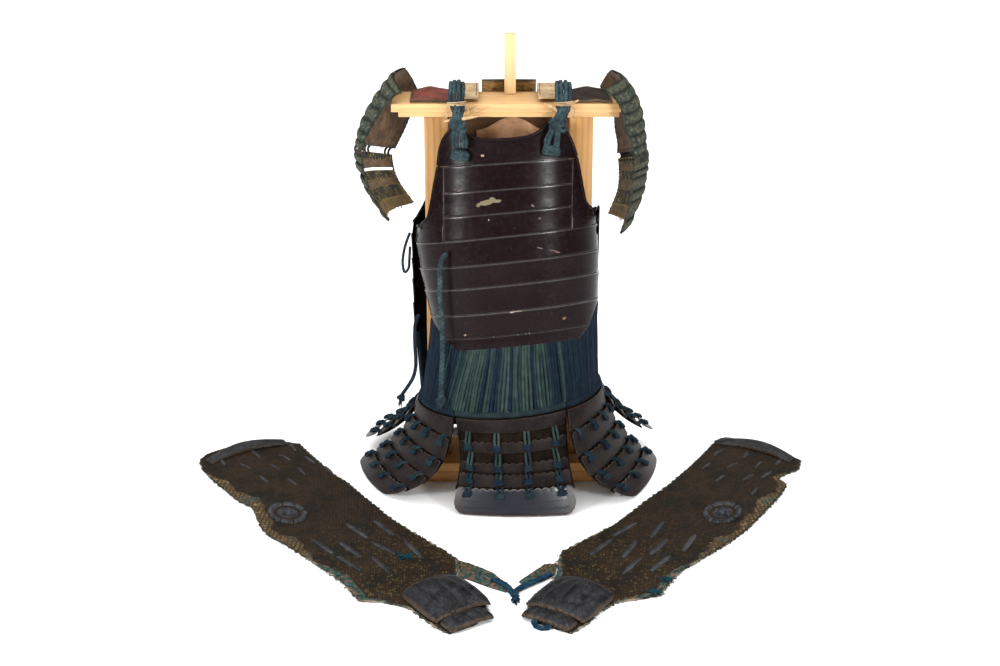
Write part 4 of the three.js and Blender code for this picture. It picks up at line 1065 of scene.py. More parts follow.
def front_end(height):
    return math.pi - front_start(height)


def back_start(height):
    return angle_inward(BACK, height, np.interp(height, *BACK_RIGHT_START))


def back_end(height):
    return math.pi - angle_inward(BACK, height, BACK_LEFT_START)


def rim_along(shape, half, heights, angles, radius, slot=0):
    """A rolled rim along a plate's edge."""
    line = torso_point(half, np.asarray(heights), np.asarray(angles), PLATE / 2)
    even = curve_through(line, max(12, int(np.linalg.norm(np.diff(line, axis=0), axis=1).sum() / 4)))
    shape.tube(even, radius, sides=10, slot=slot, marks={"edge": 0.5, "turn": 3.0})


def piece_for(shape, node, slot, *materials, angle=40):
    """Finishes a piece that stands for one solid."""
    return place_piece(shape.piece(f"{node}_made", *materials, angle=angle), slot, node)


def build_front():
    for index in range(8):
        shape = Shape()
        low, high = FRONT_SEAMS[index] + GAP / 2, FRONT_SEAMS[index + 1] - GAP / 2
        start, end, columns = front_start, front_end, 121
        if index >= 5:
            def start(height):
                return angle_across(FRONT, height, STRIP_SEAM["right"] - GAP)

            def end(height):
                return angle_across(FRONT, height, STRIP_SEAM["left"] + GAP)
            columns = 91
        plate_of(shape, FRONT, level(low), level(high), start, end, columns, turn=index * 1.7)
        piece_for(shape, f"front_lame_{index + 1}", "lacquered_plate", "front_lacquer", "plate_inside")
    build_strips()
    build_chest()


def build_strips():
    """The plates that close the upper lames' ends, each with the arm's rolled rim down its free edge."""
    rim = bpy.context.scene.armour_sizes.rim / MM
    for side, sign in (("left", -1), ("right", 1)):
        heights = np.linspace(FRONT_SEAMS[5] + GAP / 2, FRONT_ARMHOLE[0][-1] - GAP / 2, 49)
        free = np.where(
            heights <= SIDE_UNDER_ARM,
            angle_inward(FRONT, heights, FRONT_END) if sign > 0
            else math.pi - angle_inward(FRONT, heights, FRONT_END),
            angle_across(FRONT, heights, sign * np.interp(heights, *FRONT_ARMHOLE)),
        )
        seam = angle_across(FRONT, heights, STRIP_SEAM[side] + sign * GAP)
        share, depth, edge = (np.array(column) for column in zip(*SECTION))
        angle = seam[:, None] + (free - seam)[:, None] * share[None, :]
        points = torso_point(FRONT, heights[:, None], angle, PLATE * depth[None, :] - 0.8 * (1 - share)[None, :])
        surface = np.stack([across_of(FRONT, heights[:, None], angle), np.broadcast_to(heights[:, None], angle.shape)],
                           axis=-1)
        shape = Shape()
        shape.loft(points, surface, slot=0, marks={"edge": edge[None, :] * 0.8, "turn": 9.0}, inner_slot=1,
                   inner_from=INNER_FROM)
        rim_along(shape, FRONT, heights, free, rim)
        piece_for(shape, f"armhole_strip_{side}", "lacquered_plate", "front_lacquer", "plate_inside")


def columns_plate(shape, half, across, bottom, top, thick, inset, marks, slots=(0, 1), turn=0):
    """A plate of upright columns, each from its bottom height to its top height."""
    share, depth, edge = (np.array(column) for column in zip(*SECTION))
    height = bottom[:, None] + (top - bottom)[:, None] * share[None, :]
    angle = angle_across(half, height, across[:, None])
    points = torso_point(half, height, angle, inset + thick * depth[None, :])
    surface = np.stack([np.broadcast_to(across[:, None], height.shape), height], axis=-1)
    given = {"edge": edge[None, :], "turn": turn, **marks}
    shape.loft(points, surface, slot=slots[0], marks=given, inner_slot=slots[1], inner_from=INNER_FROM)


def both_ways(table):
    """A table for one side of the middle, carried over to the other side."""
    places, values = (np.array(column, float) for column in table)
    return np.concatenate([-places[:0:-1], places]), np.concatenate([values[:0:-1], values])


def build_chest():
    rim = bpy.context.scene.armour_sizes.rim / MM
    places, tops = both_ways(CHEST_TOP)
    across = np.interp(np.linspace(0, 1, 141), np.linspace(0, 1, len(places)), places)
    top = smooth(places, tops, across)
    shape = Shape()
    bottom = np.full_like(across, FRONT_SEAMS[8] + GAP / 2)
    columns_plate(shape, FRONT, across, bottom, top, PLATE, 0, {}, turn=15.0)
    rim_along(shape, FRONT, top - 0.6, angle_across(FRONT, top, across), rim)
    piece_for(shape, "chest_plate", "lacquered_plate", "front_lacquer", "plate_inside")


def build_back():
    rim = bpy.context.scene.armour_sizes.rim / MM
    for index in range(4):
        shape = Shape()
        low, high = BACK_SEAMS[index] + GAP / 2, BACK_SEAMS[index + 1] - GAP / 2
        plate_of(shape, BACK, level(low), level(high), back_start, back_end, 121, turn=index * 2.3 + 20)
        piece_for(shape, f"back_lame_{index + 1}", "lacquered_plate", "back_lacquer", "plate_inside")
    build_under_arms(rim)
    places, tops = both_ways(BACK_TOP)
    across = np.interp(np.linspace(0, 1, 121), np.linspace(0, 1, len(places)), places)
    top = np.interp(across, places, tops)
    shape = Shape()
    bottom = np.full_like(across, BACK_ARMHOLE[0][-1] + GAP)
    columns_plate(shape, BACK, across, bottom, top, PLATE, 0, {}, turn=31.0)
    rim_along(shape, BACK, top - 0.6, angle_across(BACK, top, across), rim * 0.8)
    piece_for(shape, "back_plate", "lacquered_plate", "back_lacquer", "inner_leather")


def build_under_arms(rim):
    """The fifth back lame, which narrows between the armholes."""
    heights = np.concatenate([np.linspace(BACK_SEAMS[4] + GAP / 2, SIDE_UNDER_ARM, 8),
                              np.linspace(BACK_ARMHOLE[0][0], BACK_ARMHOLE[0][-1], 34)])
    arm = heights > SIDE_UNDER_ARM
    reach = np.interp(heights, *BACK_ARMHOLE)
    start = np.where(arm, angle_across(BACK, heights, reach), back_start(heights))
    end = np.where(arm, angle_across(BACK, heights, -reach), back_end(heights))
    share = np.concatenate([np.linspace(0, 1, 81), np.linspace(1, 0, 81)])
    depth = np.concatenate([np.zeros(81), np.ones(81)])
    depth[[0, 80]] = 0.25
    depth[[81, 161]] = 0.75
    angle = start[:, None] + (end - start)[:, None] * share[None, :]
    points = torso_point(BACK, heights[:, None], angle, PLATE * depth[None, :])
    surface = np.stack([across_of(BACK, heights[:, None], angle), np.broadcast_to(heights[:, None], angle.shape)],
                       axis=-1)
    shape = Shape()
    shape.loft(points, surface, slot=0, marks={"edge": 0.0, "turn": 27.0}, inner_slot=1, inner_from=81)
    for edge in (start, end):
        rim_along(shape, BACK, heights[7:], edge[7:], rim * 0.8)
    piece_for(shape, "back_lame_5", "lacquered_plate", "back_lacquer", "plate_inside")


def build_linings():
    panel = LEATHER_PANEL
    across = np.linspace(-1, 1, 61)
    peak = np.cos(across * math.pi / 2) ** 2
    top = panel["shoulder"] + panel["rise"] * peak
    shape = Shape()
    places = panel["middle"] + across * panel["half_width"]
    columns_plate(shape, BACK, places, np.full_like(top, panel["bottom"]), top, panel["thick"], panel["inset"], {},
                  slots=(0, 0))
    piece_for(shape, "back_leather_panel", "leather", "arch_leather_painted_light")
    places = COLLAR["middle"] + across * COLLAR["half_width"]
    share = np.array(SECTION)[:, 0]
    shape = Shape()
    columns_plate(shape, BACK, places, np.full_like(top, COLLAR["bottom"]), np.full_like(top, COLLAR["top"]),
                  COLLAR["thick"], COLLAR["inset"], {"edge": np.clip((share - 0.72) * 12, 0, 1)[None, :]}, slots=(0, 0))
    piece_for(shape, "back_collar", "collar_cloth", "collar_cloth")


def build_hinge():
    """Five knuckles on one pin, with a leaf on to the plates either side."""
    shape = Shape()
    step = HINGE["height"] / 5
    for knuckle in range(5):
        low = HINGE["bottom"] + knuckle * step + 0.4
        path = [(HINGE["x"] - 5.4, HINGE["y"], low + t * (step - 0.8)) for t in (0, 0.5, 1)]
        shape.tube(path, HINGE["radius"], sides=14, side=(0, 1, 0))
        back = knuckle % 2
        reach = (14, 5) if back else (-16, 6.5)
        leaf = [(HINGE["x"] - 6, HINGE["y"], low + step / 2 - 0.4),
                (HINGE["x"] - 6 + reach[1] * 0.1, HINGE["y"] + reach[0], low + step / 2 - 0.4)]
        shape.tube(curve_through(leaf, 4), step / 2 - 0.7, sides=12, side=(1, 0, 0), squash=(1, 0.14))
    pin = [(HINGE["x"] - 5.4, HINGE["y"], HINGE["bottom"] - 1 + t * (HINGE["height"] + 2)) for t in (0, 0.5, 1)]
    shape.tube(pin, HINGE["radius"] * 0.6, sides=10, side=(0, 1, 0))
    piece_for(shape, "side_hinge", "hinge_iron", "sleeve_iron")


# ------------------------------------------------------------------ cords
@functools.lru_cache(maxsize=None)
def cord_tree():
    """Nodes that turn lines of points into round cords, with places along and round them for the braid."""
    tree = bpy.data.node_groups.new("Cords On Lines", "GeometryNodeTree")
    face = tree.interface
    face.new_socket("Geometry", in_out="INPUT", socket_type="NodeSocketGeometry")
    radius = face.new_socket("Radius", in_out="INPUT", socket_type="NodeSocketFloat")
    sides = face.new_socket("Sides", in_out="INPUT", socket_type="NodeSocketInt")
    material = face.new_socket("Material", in_out="INPUT", socket_type="NodeSocketMaterial")
    face.new_socket("Geometry", in_out="OUTPUT", socket_type="NodeSocketGeometry")
    nodes, links = tree.nodes, tree.links
    given, out = nodes.new("NodeGroupInput"), nodes.new("NodeGroupOutput")
    curves = nodes.new("GeometryNodeMeshToCurve")
    place = nodes.new("GeometryNodeSplineParameter")
    along = nodes.new("GeometryNodeStoreNamedAttribute")
    along.inputs["Name"].default_value = "along"
    width = nodes.new("GeometryNodeInputNamedAttribute")
    width.inputs["Name"].default_value = "width"
    scale = nodes.new("ShaderNodeMath")
    scale.operation = "MULTIPLY"
    ring = nodes.new("GeometryNodeCurvePrimitiveCircle")
    ring.inputs["Radius"].default_value = 1
    ring_place = nodes.new("GeometryNodeSplineParameter")
    around = nodes.new("GeometryNodeStoreNamedAttribute")
    around.inputs["Name"].default_value = "around"
    swept = nodes.new("GeometryNodeCurveToMesh")
    swept.inputs["Fill Caps"].default_value = True
    real = nodes.new("GeometryNodeRealizeInstances")
    painted = nodes.new("GeometryNodeSetMaterial")
    for a, b in (
        (given.outputs["Geometry"], curves.inputs["Mesh"]),
        (curves.outputs["Curve"], along.inputs["Geometry"]),
        (place.outputs["Length"], along.inputs["Value"]),
        (along.outputs["Geometry"], swept.inputs["Curve"]),
        (width.outputs["Attribute"], scale.inputs[0]),
        (given.outputs["Radius"], scale.inputs[1]),
        (scale.outputs[0], swept.inputs["Scale"]),
        (given.outputs["Sides"], ring.inputs["Resolution"]),
        (ring.outputs["Curve"], around.inputs["Geometry"]),
        (ring_place.outputs["Factor"], around.inputs["Value"]),
        (around.outputs["Geometry"], swept.inputs["Profile Curve"]),
        (swept.outputs["Mesh"], real.inputs["Geometry"]),
        (real.outputs["Geometry"], painted.inputs["Geometry"]),
        (given.outputs["Material"], painted.inputs["Material"]),
        (painted.outputs["Geometry"], out.inputs["Geometry"]),
    ):
        links.new(a, b)
    return tree, {"Radius": radius.identifier, "Sides": sides.identifier, "Material": material.identifier}


def through_nodes(name, points, edges, marks, tree, identifiers, values):
    """Runs a mesh of points and edges through a node tree and keeps the result as a plain mesh object."""
    mesh = bpy.data.meshes.new(name + "_lines")
    mesh.from_pydata((np.asarray(points) * MM).tolist(), edges, [])
    for mark, column in marks.items():
        column = np.asarray(column, np.float32)
        kind = "FLOAT" if column.ndim == 1 else "FLOAT_VECTOR"
        data = mesh.attributes.new(mark, kind, "POINT")
        data.data.foreach_set("value" if kind == "FLOAT" else "vector", column.ravel())
    holder = bpy.data.objects.new(name + "_lines", mesh)
    bpy.context.scene.collection.objects.link(holder)
    modifier = holder.modifiers.new("Nodes", "NODES")
    modifier.node_group = tree
    for socket, value in values.items():
        modifier[identifiers[socket]] = value
    bpy.context.view_layer.update()
    graph = bpy.context.evaluated_depsgraph_get()
    plain = bpy.data.meshes.new_from_object(holder.evaluated_get(graph), depsgraph=graph)
    plain.name = name
    bpy.data.objects.remove(holder)
    plain.polygons.foreach_set("use_smooth", np.ones(len(plain.polygons), bool))
    made = bpy.data.objects.new(name, plain)
    bpy.context.scene.collection.objects.link(made)
    return made


class Lines:
    """Collects lines of points that become cords."""

    def __init__(self):
        self.points, self.edges, self.width, self.tone = [], [], [], []
        self.count = 0

    def add(self, path, width=1.0, tone=0.0):
        n = len(path)
        self.points.append(np.asarray(path, float))
        self.edges.extend((self.count + k, self.count + k + 1) for k in range(n - 1))
        self.width.append(np.broadcast_to(np.asarray(width, float), (n,)))
        self.tone.append(np.broadcast_to(np.asarray(tone, float), (n,)))
        self.count += n

    def cords(self, name, radius, material, sides=8):
        tree, identifiers = cord_tree()
        marks = {"width": np.concatenate(self.width), "tone": np.concatenate(self.tone)}
        values = {"Radius": radius, "Sides": sides, "Material": finish(material)}
        return through_nodes(name, np.concatenate(self.points), self.edges, marks, tree, identifiers, values)


def ring_point(azimuth, grow=0):
    angle = np.radians(np.asarray(azimuth, float))
    across = (RING["half_width"] + grow) * np.sin(angle)
    ahead = -(RING["half_depth"] + grow) * np.cos(angle)
    return np.stack([RING["x"] + across, RING["y"] + ahead, RING["z"] + RING["rise"] * across], axis=-1)


def build_waist_cords():
    """Falls of braided cords from behind the plates' lower edges to the waist line, in two staggered layers."""
    sizes = bpy.context.scene.armour_sizes
    chance = np.random.default_rng(SEED)
    down = np.linspace(0, 1, 15)
    bow = np.sin(down * math.pi)
    for name, half, low_angle, high_angle, first, last in (
        ("front_lacing", FRONT, FRONT_END, FRONT_END, SIDE_AZIMUTH, -SIDE_AZIMUTH),
        ("back_lacing", BACK, BACK_RIGHT_START[1][0], BACK_LEFT_START, SIDE_AZIMUTH + 1, 359 - SIDE_AZIMUTH),
    ):
        lines = Lines()
        begin = float(angle_inward(half, 0, low_angle))
        close = math.pi - float(angle_inward(half, 0, high_angle))
        even = np.linspace(begin, close, 400)
        brim = torso_point(half, 0, even, CURTAIN_TUCK)
        around = np.unwrap(np.arctan2(brim[:, 0] - RING["x"], -(brim[:, 1] - RING["y"])))
        walked = np.concatenate([[0], np.cumsum(np.linalg.norm(np.diff(brim, axis=0), axis=1))])
        spread = (around - around[0]) / (around[-1] - around[0])
        lean, drift = 0.0, 0.0
        for layer in range(2):
            for k in range(sizes.waist_cords):
                share = (k + 0.5 * layer + 0.25) / sizes.waist_cords
                angle = float(np.interp(share * walked[-1], walked, even))
                across = float(across_of(half, 0, angle))
                hip = float(np.interp(abs(across) + 4, HIP_EDGE[1], HIP_EDGE[0])) if half is FRONT else 0
                top = torso_point(half, hip + 4 + chance.uniform(-1, 1), angle, CURTAIN_TUCK + 0.4 + layer * 2.2)
                lean = lean * 0.86 + chance.normal(0, 0.3)
                drift = drift * 0.9 + chance.normal(0, 0.55)
                turn = float(np.interp(share * walked[-1], walked, spread))
                foot = ring_point(first + (last - first) * turn + lean, -1.5 - layer * 2.4)
                foot[2] += 2
                path = top[None, :] + (foot - top)[None, :] * down[:, None]
                out = unit((foot - np.array([RING["x"], RING["y"], foot[2]]))[None, :])[0]
                sideways = np.array([-out[1], out[0], 0])
                path += out * (np.sin(np.clip(down * 6, 0, 1) * math.pi) * 1.6 * (layer == 0)
                               + bow * chance.uniform(-1.2, 1.4))[:, None]
                path += sideways * (bow * (drift + chance.normal(0, 0.5)) + np.sin(down * 7 + k) * 0.3)[:, None]
                middle = 1 - abs(share - 0.5) * 2
                tone = middle * 1.05 - 0.08 + chance.normal(0, 0.3) - (0.7 if chance.random() < 0.12 else 0)
                if half is FRONT and 0.66 < share < 0.8:
                    tone += 0.35
                # The rear layer's tone is cut to under a third, which draws it towards the dark indigo: painted shade
                # in the gaps behind the front cords.
                lines.add(path, 1.0 + chance.normal(0, 0.07), min(max(tone, 0), 1.25) * (0.3 if layer else 1))
        made = lines.cords(f"{name}_cords", sizes.waist_cord / 2, "waist_cord")
        place_piece(made, "waist_cords", name)


# ------------------------------------------------------------------ tassets
def tasset_surface(row):
    """The surface a tasset hangs on: down is 0 at the waist and 1 at the foot, across is 0 to 1."""
    _, begin, finish_at, first, second, wider, _ = row
    first, second = np.array(first, float), np.array(second, float)
    along = unit(((second - first) * (1, 1, 0))[None, :])[0]
    outward = np.array([along[1], -along[0], 0])

    def surface(down, across):
        down, across = np.broadcast_arrays(np.asarray(down, float), np.asarray(across, float))
        d, a = down[..., None], across[..., None]
        top = ring_point(begin + (finish_at - begin) * across)
        foot = first + (second - first) * a + outward * (TASSET_BULGE * 4 * a * (1 - a))
        spread = wider[1] * a**2 - wider[0] * (1 - a) ** 2
        knee = top + (foot - top) * GATHER[0]
        knee[..., 2] = foot[..., 2] + (top[..., 2] - foot[..., 2]) * GATHER[1]
        near = top + (knee - top) * d
        far = knee + (foot - knee) * d
        return near + (far - near) * d + along * (spread * np.sin(math.pi * d))

    return surface


def along_normal(surface, down, across, away):
    """Points of a surface moved out along its normal, and never below the floor."""
    step = 1e-3
    du = surface(down + step, across) - surface(down - step, across)
    dv = surface(down, across + step) - surface(down, across - step)
    points = surface(down, across) + unit(np.cross(du, dv)) * np.asarray(away, float)[..., None]
    points[..., 2] = np.maximum(points[..., 2], 0.15)
    return points


def tasset_lame(shape, surface, top, bottom, last, breadth, turn, glossy):
    """One lame: its upper edge is scalloped, and the last lame's lower corners are rounded."""
    sizes = bpy.context.scene.armour_sizes
    columns = 109
    across = np.linspace(0, 1, columns)
    length_down = float(np.linalg.norm(surface(bottom, 0.5) - surface(top, 0.5)))
    teeth = max(4, round(breadth * MM / sizes.scallop))
    bites = (1 - np.abs(np.sin(across * teeth * math.pi))) ** 1.6 * (3.4 / length_down)
    share = np.array([0, 0.015, 0.06, 0.2, 0.4, 0.6, 0.8, 0.93, 0.975, 0.99, 1.0, 0.99, 0.93, 0.5, 0.06, 0.012])
    depth = np.array([0.5, 0.12, 0, 0, 0, 0, 0, 0, 0.02, 0.15, 0.5, 0.9, 1, 1, 1, 0.9])
    edge = np.array([1, 1, 0.5, 0, 0, 0, 0, 0.2, 0.9, 1, 1, 0.5, 0, 0, 0, 0.3])
    start = np.zeros_like(across) if turn == 0 else bites
    place = start[:, None] * (1 - share)[None, :] + share[None, :]
    down = top + (bottom - top) * place
    sideways = np.broadcast_to(across[:, None], down.shape)
    if last:
        cut = CORNER_CUT * np.interp(place, (0.5, 0.7, 0.85, 0.93, 0.97, 1), (0, 0.08, 0.3, 0.52, 0.7, 1.0))
        sideways = cut + (1 - 2 * cut) * sideways
    away = TASSET_LIP * (1 - place) ** 1.2 + 1.1 * np.sin(math.pi * np.clip(place, 0, 1)) - PLATE * depth[None, :]
    points = along_normal(surface, down, sideways, away)
    surface_map = np.stack([sideways * breadth, place * length_down], axis=-1)
    side = np.clip(1 - np.minimum(across, 1 - across) * columns / 2.2, 0, 1)[:, None] * (depth < 0.6)[None, :]
    marks = {"edge": np.maximum(edge[None, :], side), "turn": turn * 1.3, "down": 1 - place,
             "ribbed": 0.0 if last else 1.0, "glossy": glossy,
             "side": np.minimum(across, 1 - across)[:, None]}
    shape.loft(points, surface_map, slot=2 if last else 0, marks=marks, inner_slot=1, inner_from=12)


def add_painted_shade_sheet(shape, surface, top, bottom, breadth, spill):
    """A dark sheet behind a tasset's lames, in the near-black inside finish: painted shade seen in the gaps between
    them.
    """
    down = np.linspace(top, bottom, BACKING_GRID[0])[:, None]
    across = np.linspace(-spill, 1 + spill, BACKING_GRID[1])[None, :]
    near, far = (along_normal(surface, *np.broadcast_arrays(down, across), np.full(BACKING_GRID, away))
                 for away in (-PLATE - 0.6, -PLATE - 2.0))
    flat = np.stack(np.broadcast_arrays(across * breadth, down * 200), axis=-1)
    shape.loft(np.concatenate([near, far[:, ::-1]], axis=1), np.concatenate([flat, flat[:, ::-1]], axis=1), slot=1)


def build_tassets():
    sizes = bpy.context.scene.armour_sizes
    chance = np.random.default_rng(SEED + 1)
    laces, knots = Lines(), Lines()
    piping = Lines()
    for number, row in enumerate(TASSETS):
        name, loose = row[0], row[6]
        surface = tasset_surface(row)
        lames = LOOSE_LAMES if loose else CLOSE_LAMES
        breadth = float(np.linalg.norm(surface(0.5, 0) - surface(0.5, 1)))
        shape = Shape()
        for index, (top, bottom) in enumerate(lames):
            turn = index + number * 6 if index else 0
            tasset_lame(shape, surface, top, bottom, index == 4, breadth, turn, 1.0 if name == "front" else 0.0)
        # Painted shade: a dark sheet behind the lames fills the gaps between them.
        add_painted_shade_sheet(shape, surface, 0.0, lames[4][0] + 0.04, breadth, 0.03 if loose else -0.012)
        piece_for(shape, f"tasset_{name}", "laced_lames", "lame_lacquer", "plate_inside", "foot_lacquer", angle=50)
        piping.add(surface(np.full(60, 0.012), np.linspace(0.006, 0.994, 60)), 1.0, 0.25)
        for k in range(60):
            share = (k + 0.5) / 60
            here = surface(0.012, share)
            out = unit((here - (RING["x"], RING["y"], here[2]))[None, :])[0]
            t = np.linspace(-0.3, 1.1, 6) * math.pi
            wrap = here + out * (np.sin(t) * 4.7)[:, None] + np.array([0, 0, 1]) * (np.cos(t) * 4.7)[:, None]
            laces.add(wrap, 0.5, 0.7 if loose else 0.15)
        add_laces(laces, knots, surface, lames, breadth, chance)
    place_piece(piping.cords("waist_piping", RING["piping"] / 2 * MM, "dark_cord", sides=14), "teal_cord")
    place_piece(laces.cords("tasset_laces", sizes.lace / 2, "waist_cord", sides=THIN_SIDES), "teal_cord")
    place_piece(knots.cords("tasset_knots", sizes.lace / 2, "waist_cord", sides=THIN_SIDES), "teal_cord")


def add_laces(laces, knots, surface, lames, breadth, chance):
    """Pairs of cords from behind each lame's foot to over the next one's head, each pair under a small knot."""
    pair = 3.1 / breadth
    span = float(np.linalg.norm(surface(0.6, 0.5) - surface(0.4, 0.5))) / 0.2
    for upper in range(4):
        low, high = lames[upper][1], lames[upper + 1][0]
        knot_at = high + (7.5 if high - low > 0.05 else 11 + chance.uniform(-1, 1)) / span
        for place in LACE_PLACES:
            drift = chance.normal(0, 0.7) / breadth
            for sign in (-1, 1):
                downs = np.array([low - 7 / span, low - 1 / span, low + (high - low) * 0.5 + 1.5 / span,
                                  high + 2.5 / span, knot_at])
                outs = np.array([-4.2, -2.4, TASSET_LIP * 0.5, TASSET_LIP + 2.6, TASSET_LIP + 1.4])
                spread = np.array([0.8, 0.9, 1.1, 1.05, 0.7]) * sign * pair
                laces.add(curve_through(along_normal(surface, downs, place + spread + drift, outs), 14),
                          1.0, (0.95 if high - low > 0.05 else 0.45) + chance.normal(0, 0.15))
            add_toggle_knot(knots, surface, knot_at + 3.5 / span, place + drift, breadth, span, chance)


def add_toggle_knot(knots, surface, down, place, breadth, span, chance):
    """A lump of cord tied across a pair of laces: two turns across and one round them."""
    reach = 7.4 + chance.uniform(-0.8, 0.8)
    tone = chance.uniform(0.0, 0.6)
    tilt = chance.normal(0, 1.2)
    t = np.linspace(-1, 1, 9)
    puff = 0.6 + 0.85 * np.sqrt(np.clip(1 - t**2, 0, 1))
    for drop in (-2.2, 2.2):
        line = along_normal(surface, down + (drop + tilt * t) / span, place + t * reach / breadth,
                            TASSET_LIP + 1.6 + 1.4 * (1 - t**2))
        knots.add(line, puff, tone)
    turn = np.linspace(0, 2 * math.pi, 12)
    centre = along_normal(surface, np.array([down]), np.array([place]), np.array([TASSET_LIP + 2.6]))[0]
    across = unit((surface(down, place + 0.02) - surface(down, place - 0.02))[None, :])[0]
    fall = unit((surface(down + 0.02, place) - surface(down - 0.02, place))[None, :])[0]
    loop = centre + fall * (np.cos(turn) * 4.4)[:, None] + np.cross(across, fall) * (np.sin(turn) * 2.6)[:, None]
    knots.add(loop, 0.6, tone)


def add_knot(lines, centre, size, chance, facing):
    """A small overhand lump of cord, wound about the way it faces."""
    facing = facing / np.linalg.norm(facing)
    sideways = unit(np.cross(facing, (0, 0, 1.0))[None, :])[0]
    upward = np.cross(sideways, facing)
    turn = chance.uniform(0, 6.28)
    t = np.linspace(0, 1, 20)
    angle = turn + t * 4.4 * math.pi
    reach = size * (0.62 + 0.3 * np.cos(t * 3 * math.pi))
    path = (centre + sideways * (np.cos(angle) * reach)[:, None] + upward * (np.sin(angle) * reach * 0.75)[:, None]
            + facing * (np.sin(t * 5 * math.pi) * size * 0.3)[:, None])
    lines.add(path, 0.72, 0.0)


# ------------------------------------------------------------------ shoulders
def sheet_sections(surface, rows, columns, thick, out=None, facing=1):
    """Loops round a sheet: across its outer face and back over its inner face, for each row."""
    u = np.linspace(0.002, 0.998, rows)[:, None]
    v = np.linspace(0, 1, columns)[None, :]
    step = 1e-3
    here = surface(u, v)
    du = surface(u + step, v) - surface(u - step, v)
    dv = surface(u, np.minimum(v + step, 1)) - surface(u, np.maximum(v - step, 0))
    normal = unit(np.cross(dv, du)) * facing
    lift = 0 if out is None else out[..., None]
    outer = here + normal * (thick / 2 + lift)
    inner = here - normal * (thick / 2)
    reach_u = np.concatenate([[0], np.cumsum(np.linalg.norm(np.diff(here[:, columns // 2], axis=0), axis=1))])
    reach_v = np.concatenate([[0], np.cumsum(np.linalg.norm(np.diff(here[rows // 2], axis=0), axis=1))])
    flat = np.stack(np.broadcast_arrays(reach_v[None, :], reach_u[:, None]), axis=-1)
    loops = np.concatenate([outer, inner[:, ::-1]], axis=1)
    surface_map = np.concatenate([flat, flat[:, ::-1]], axis=1)
    return loops, surface_map, (reach_u[-1], reach_v[-1])


def guard_surface(guard, rows):
    """The ridge of a guard runs down its outermost line, and both its edges curl in from there."""
    table = np.array(rows, float)
    places = np.linspace(0, 1, len(rows))
    ridge = guard["ridge"]

    def surface(u, v):
        u, v = np.broadcast_arrays(np.clip(u, 0, 1), v)
        x, z, front_in, front_drop, rear_in, drop, bend = (smooth(places, table[:, k], u) for k in range(7))
        front = np.clip(1 - v / ridge, 0, None) ** 2
        rear = np.clip((v - ridge) / (1 - ridge), 0, None) ** 2
        sag_share = np.clip((v - bend) / (1 - bend), 0, None) ** 1.5
        inward = front_in * front + rear_in * rear
        sag = front_drop * front + drop * sag_share
        return np.stack([guard["sign"] * (x - inward), guard["front"] + guard["depth"] * v, z - sag], axis=-1)

    return surface


GUARD_RIBS = 7
GUARD_LAMES = {"left": ((0.0, 0.4), (0.45, 0.725), (0.725, 1.0)), "right": ((0.0, 0.31), (0.31, 0.63), (0.63, 1.0))}


def build_guards():
    """Brocade in swelling bands outside. Leather lines the upper sections, gilt lames and tan bands the lower."""
    chance = np.random.default_rng(SEED + 5)
    binding = Lines()
    for guard in GUARDS:
        for section in ("upper", "lower"):
            surface = guard_surface(guard, guard[section])
            shape = Shape()
            if section == "upper":
                add_guard_band(shape, guard, surface, (0.0, 1.0), 121, 1, 0.5)
            else:
                for low, high in GUARD_LAMES[guard["side"]]:
                    middle = low + (high - low) * 0.6
                    add_guard_band(shape, guard, surface, (low, middle), 25, 2, 0.0)
                    add_guard_band(shape, guard, surface, (middle, high), 25, 3 if high < 1 else 2, 1.1)
            node = f"shoulder_guard_{guard['side']}_{section}"
            piece_for(shape, node, "brocade", "brocade", "guard_leather", "gilt_mail", "tan_band", angle=70)
            bind_guard(binding, surface, chance)
        link_sections(binding, guard)
    place_piece(binding.cords("guard_binding", 0.0017, "dull_thread", sides=THIN_SIDES), "teal_cord")


def add_guard_band(shape, guard, surface, span, rows, inner, proud):
    """Part of a guard between two shares of its length, its outside swelling once for each rib."""
    low, high = span
    ribs = GUARD_RIBS if inner == 1 else 1
    columns = 61

    def band(u, v):
        return surface(low + (high - low) * u, v)

    u = np.linspace(0, 1, rows)[:, None]
    v = np.linspace(0, 1, columns)[None, :]
    wander = 0.1 * np.sin(v * 7 + low * 9) + 0.06 * np.sin(v * 23 + 1)
    phase = u * ribs + wander * np.sin(np.pi * u)
    rib = np.abs(np.sin(phase * np.pi)) ** 0.55
    crumple = np.sin(v * 31 + np.floor(phase) * 2.1) * 0.35 + np.sin(v * 13 + u * 17) * 0.3
    lift = rib * (3.4 if ribs > 1 else 3.0) + crumple * rib + proud * (1 - u)
    loops, flat, _ = sheet_sections(band, rows, columns, GUARD_THICK * 0.9, lift, -guard["sign"])
    away = np.minimum(np.minimum(v, 1 - v) * 1.2, np.minimum(u, 1 - u) * (0.8 if inner == 1 else 0.5))
    hem = np.clip(1 - away / 0.045, 0, 1) + 0 * rib
    marks = {"rib": np.concatenate([rib + 0 * v, np.zeros_like(hem)], axis=1),
             "hem": np.concatenate([hem, hem[:, ::-1]], axis=1), "rust": float(high > 0.99)}
    shape.loft(loops, flat, slot=0, marks=marks, inner_slot=inner, inner_from=columns)


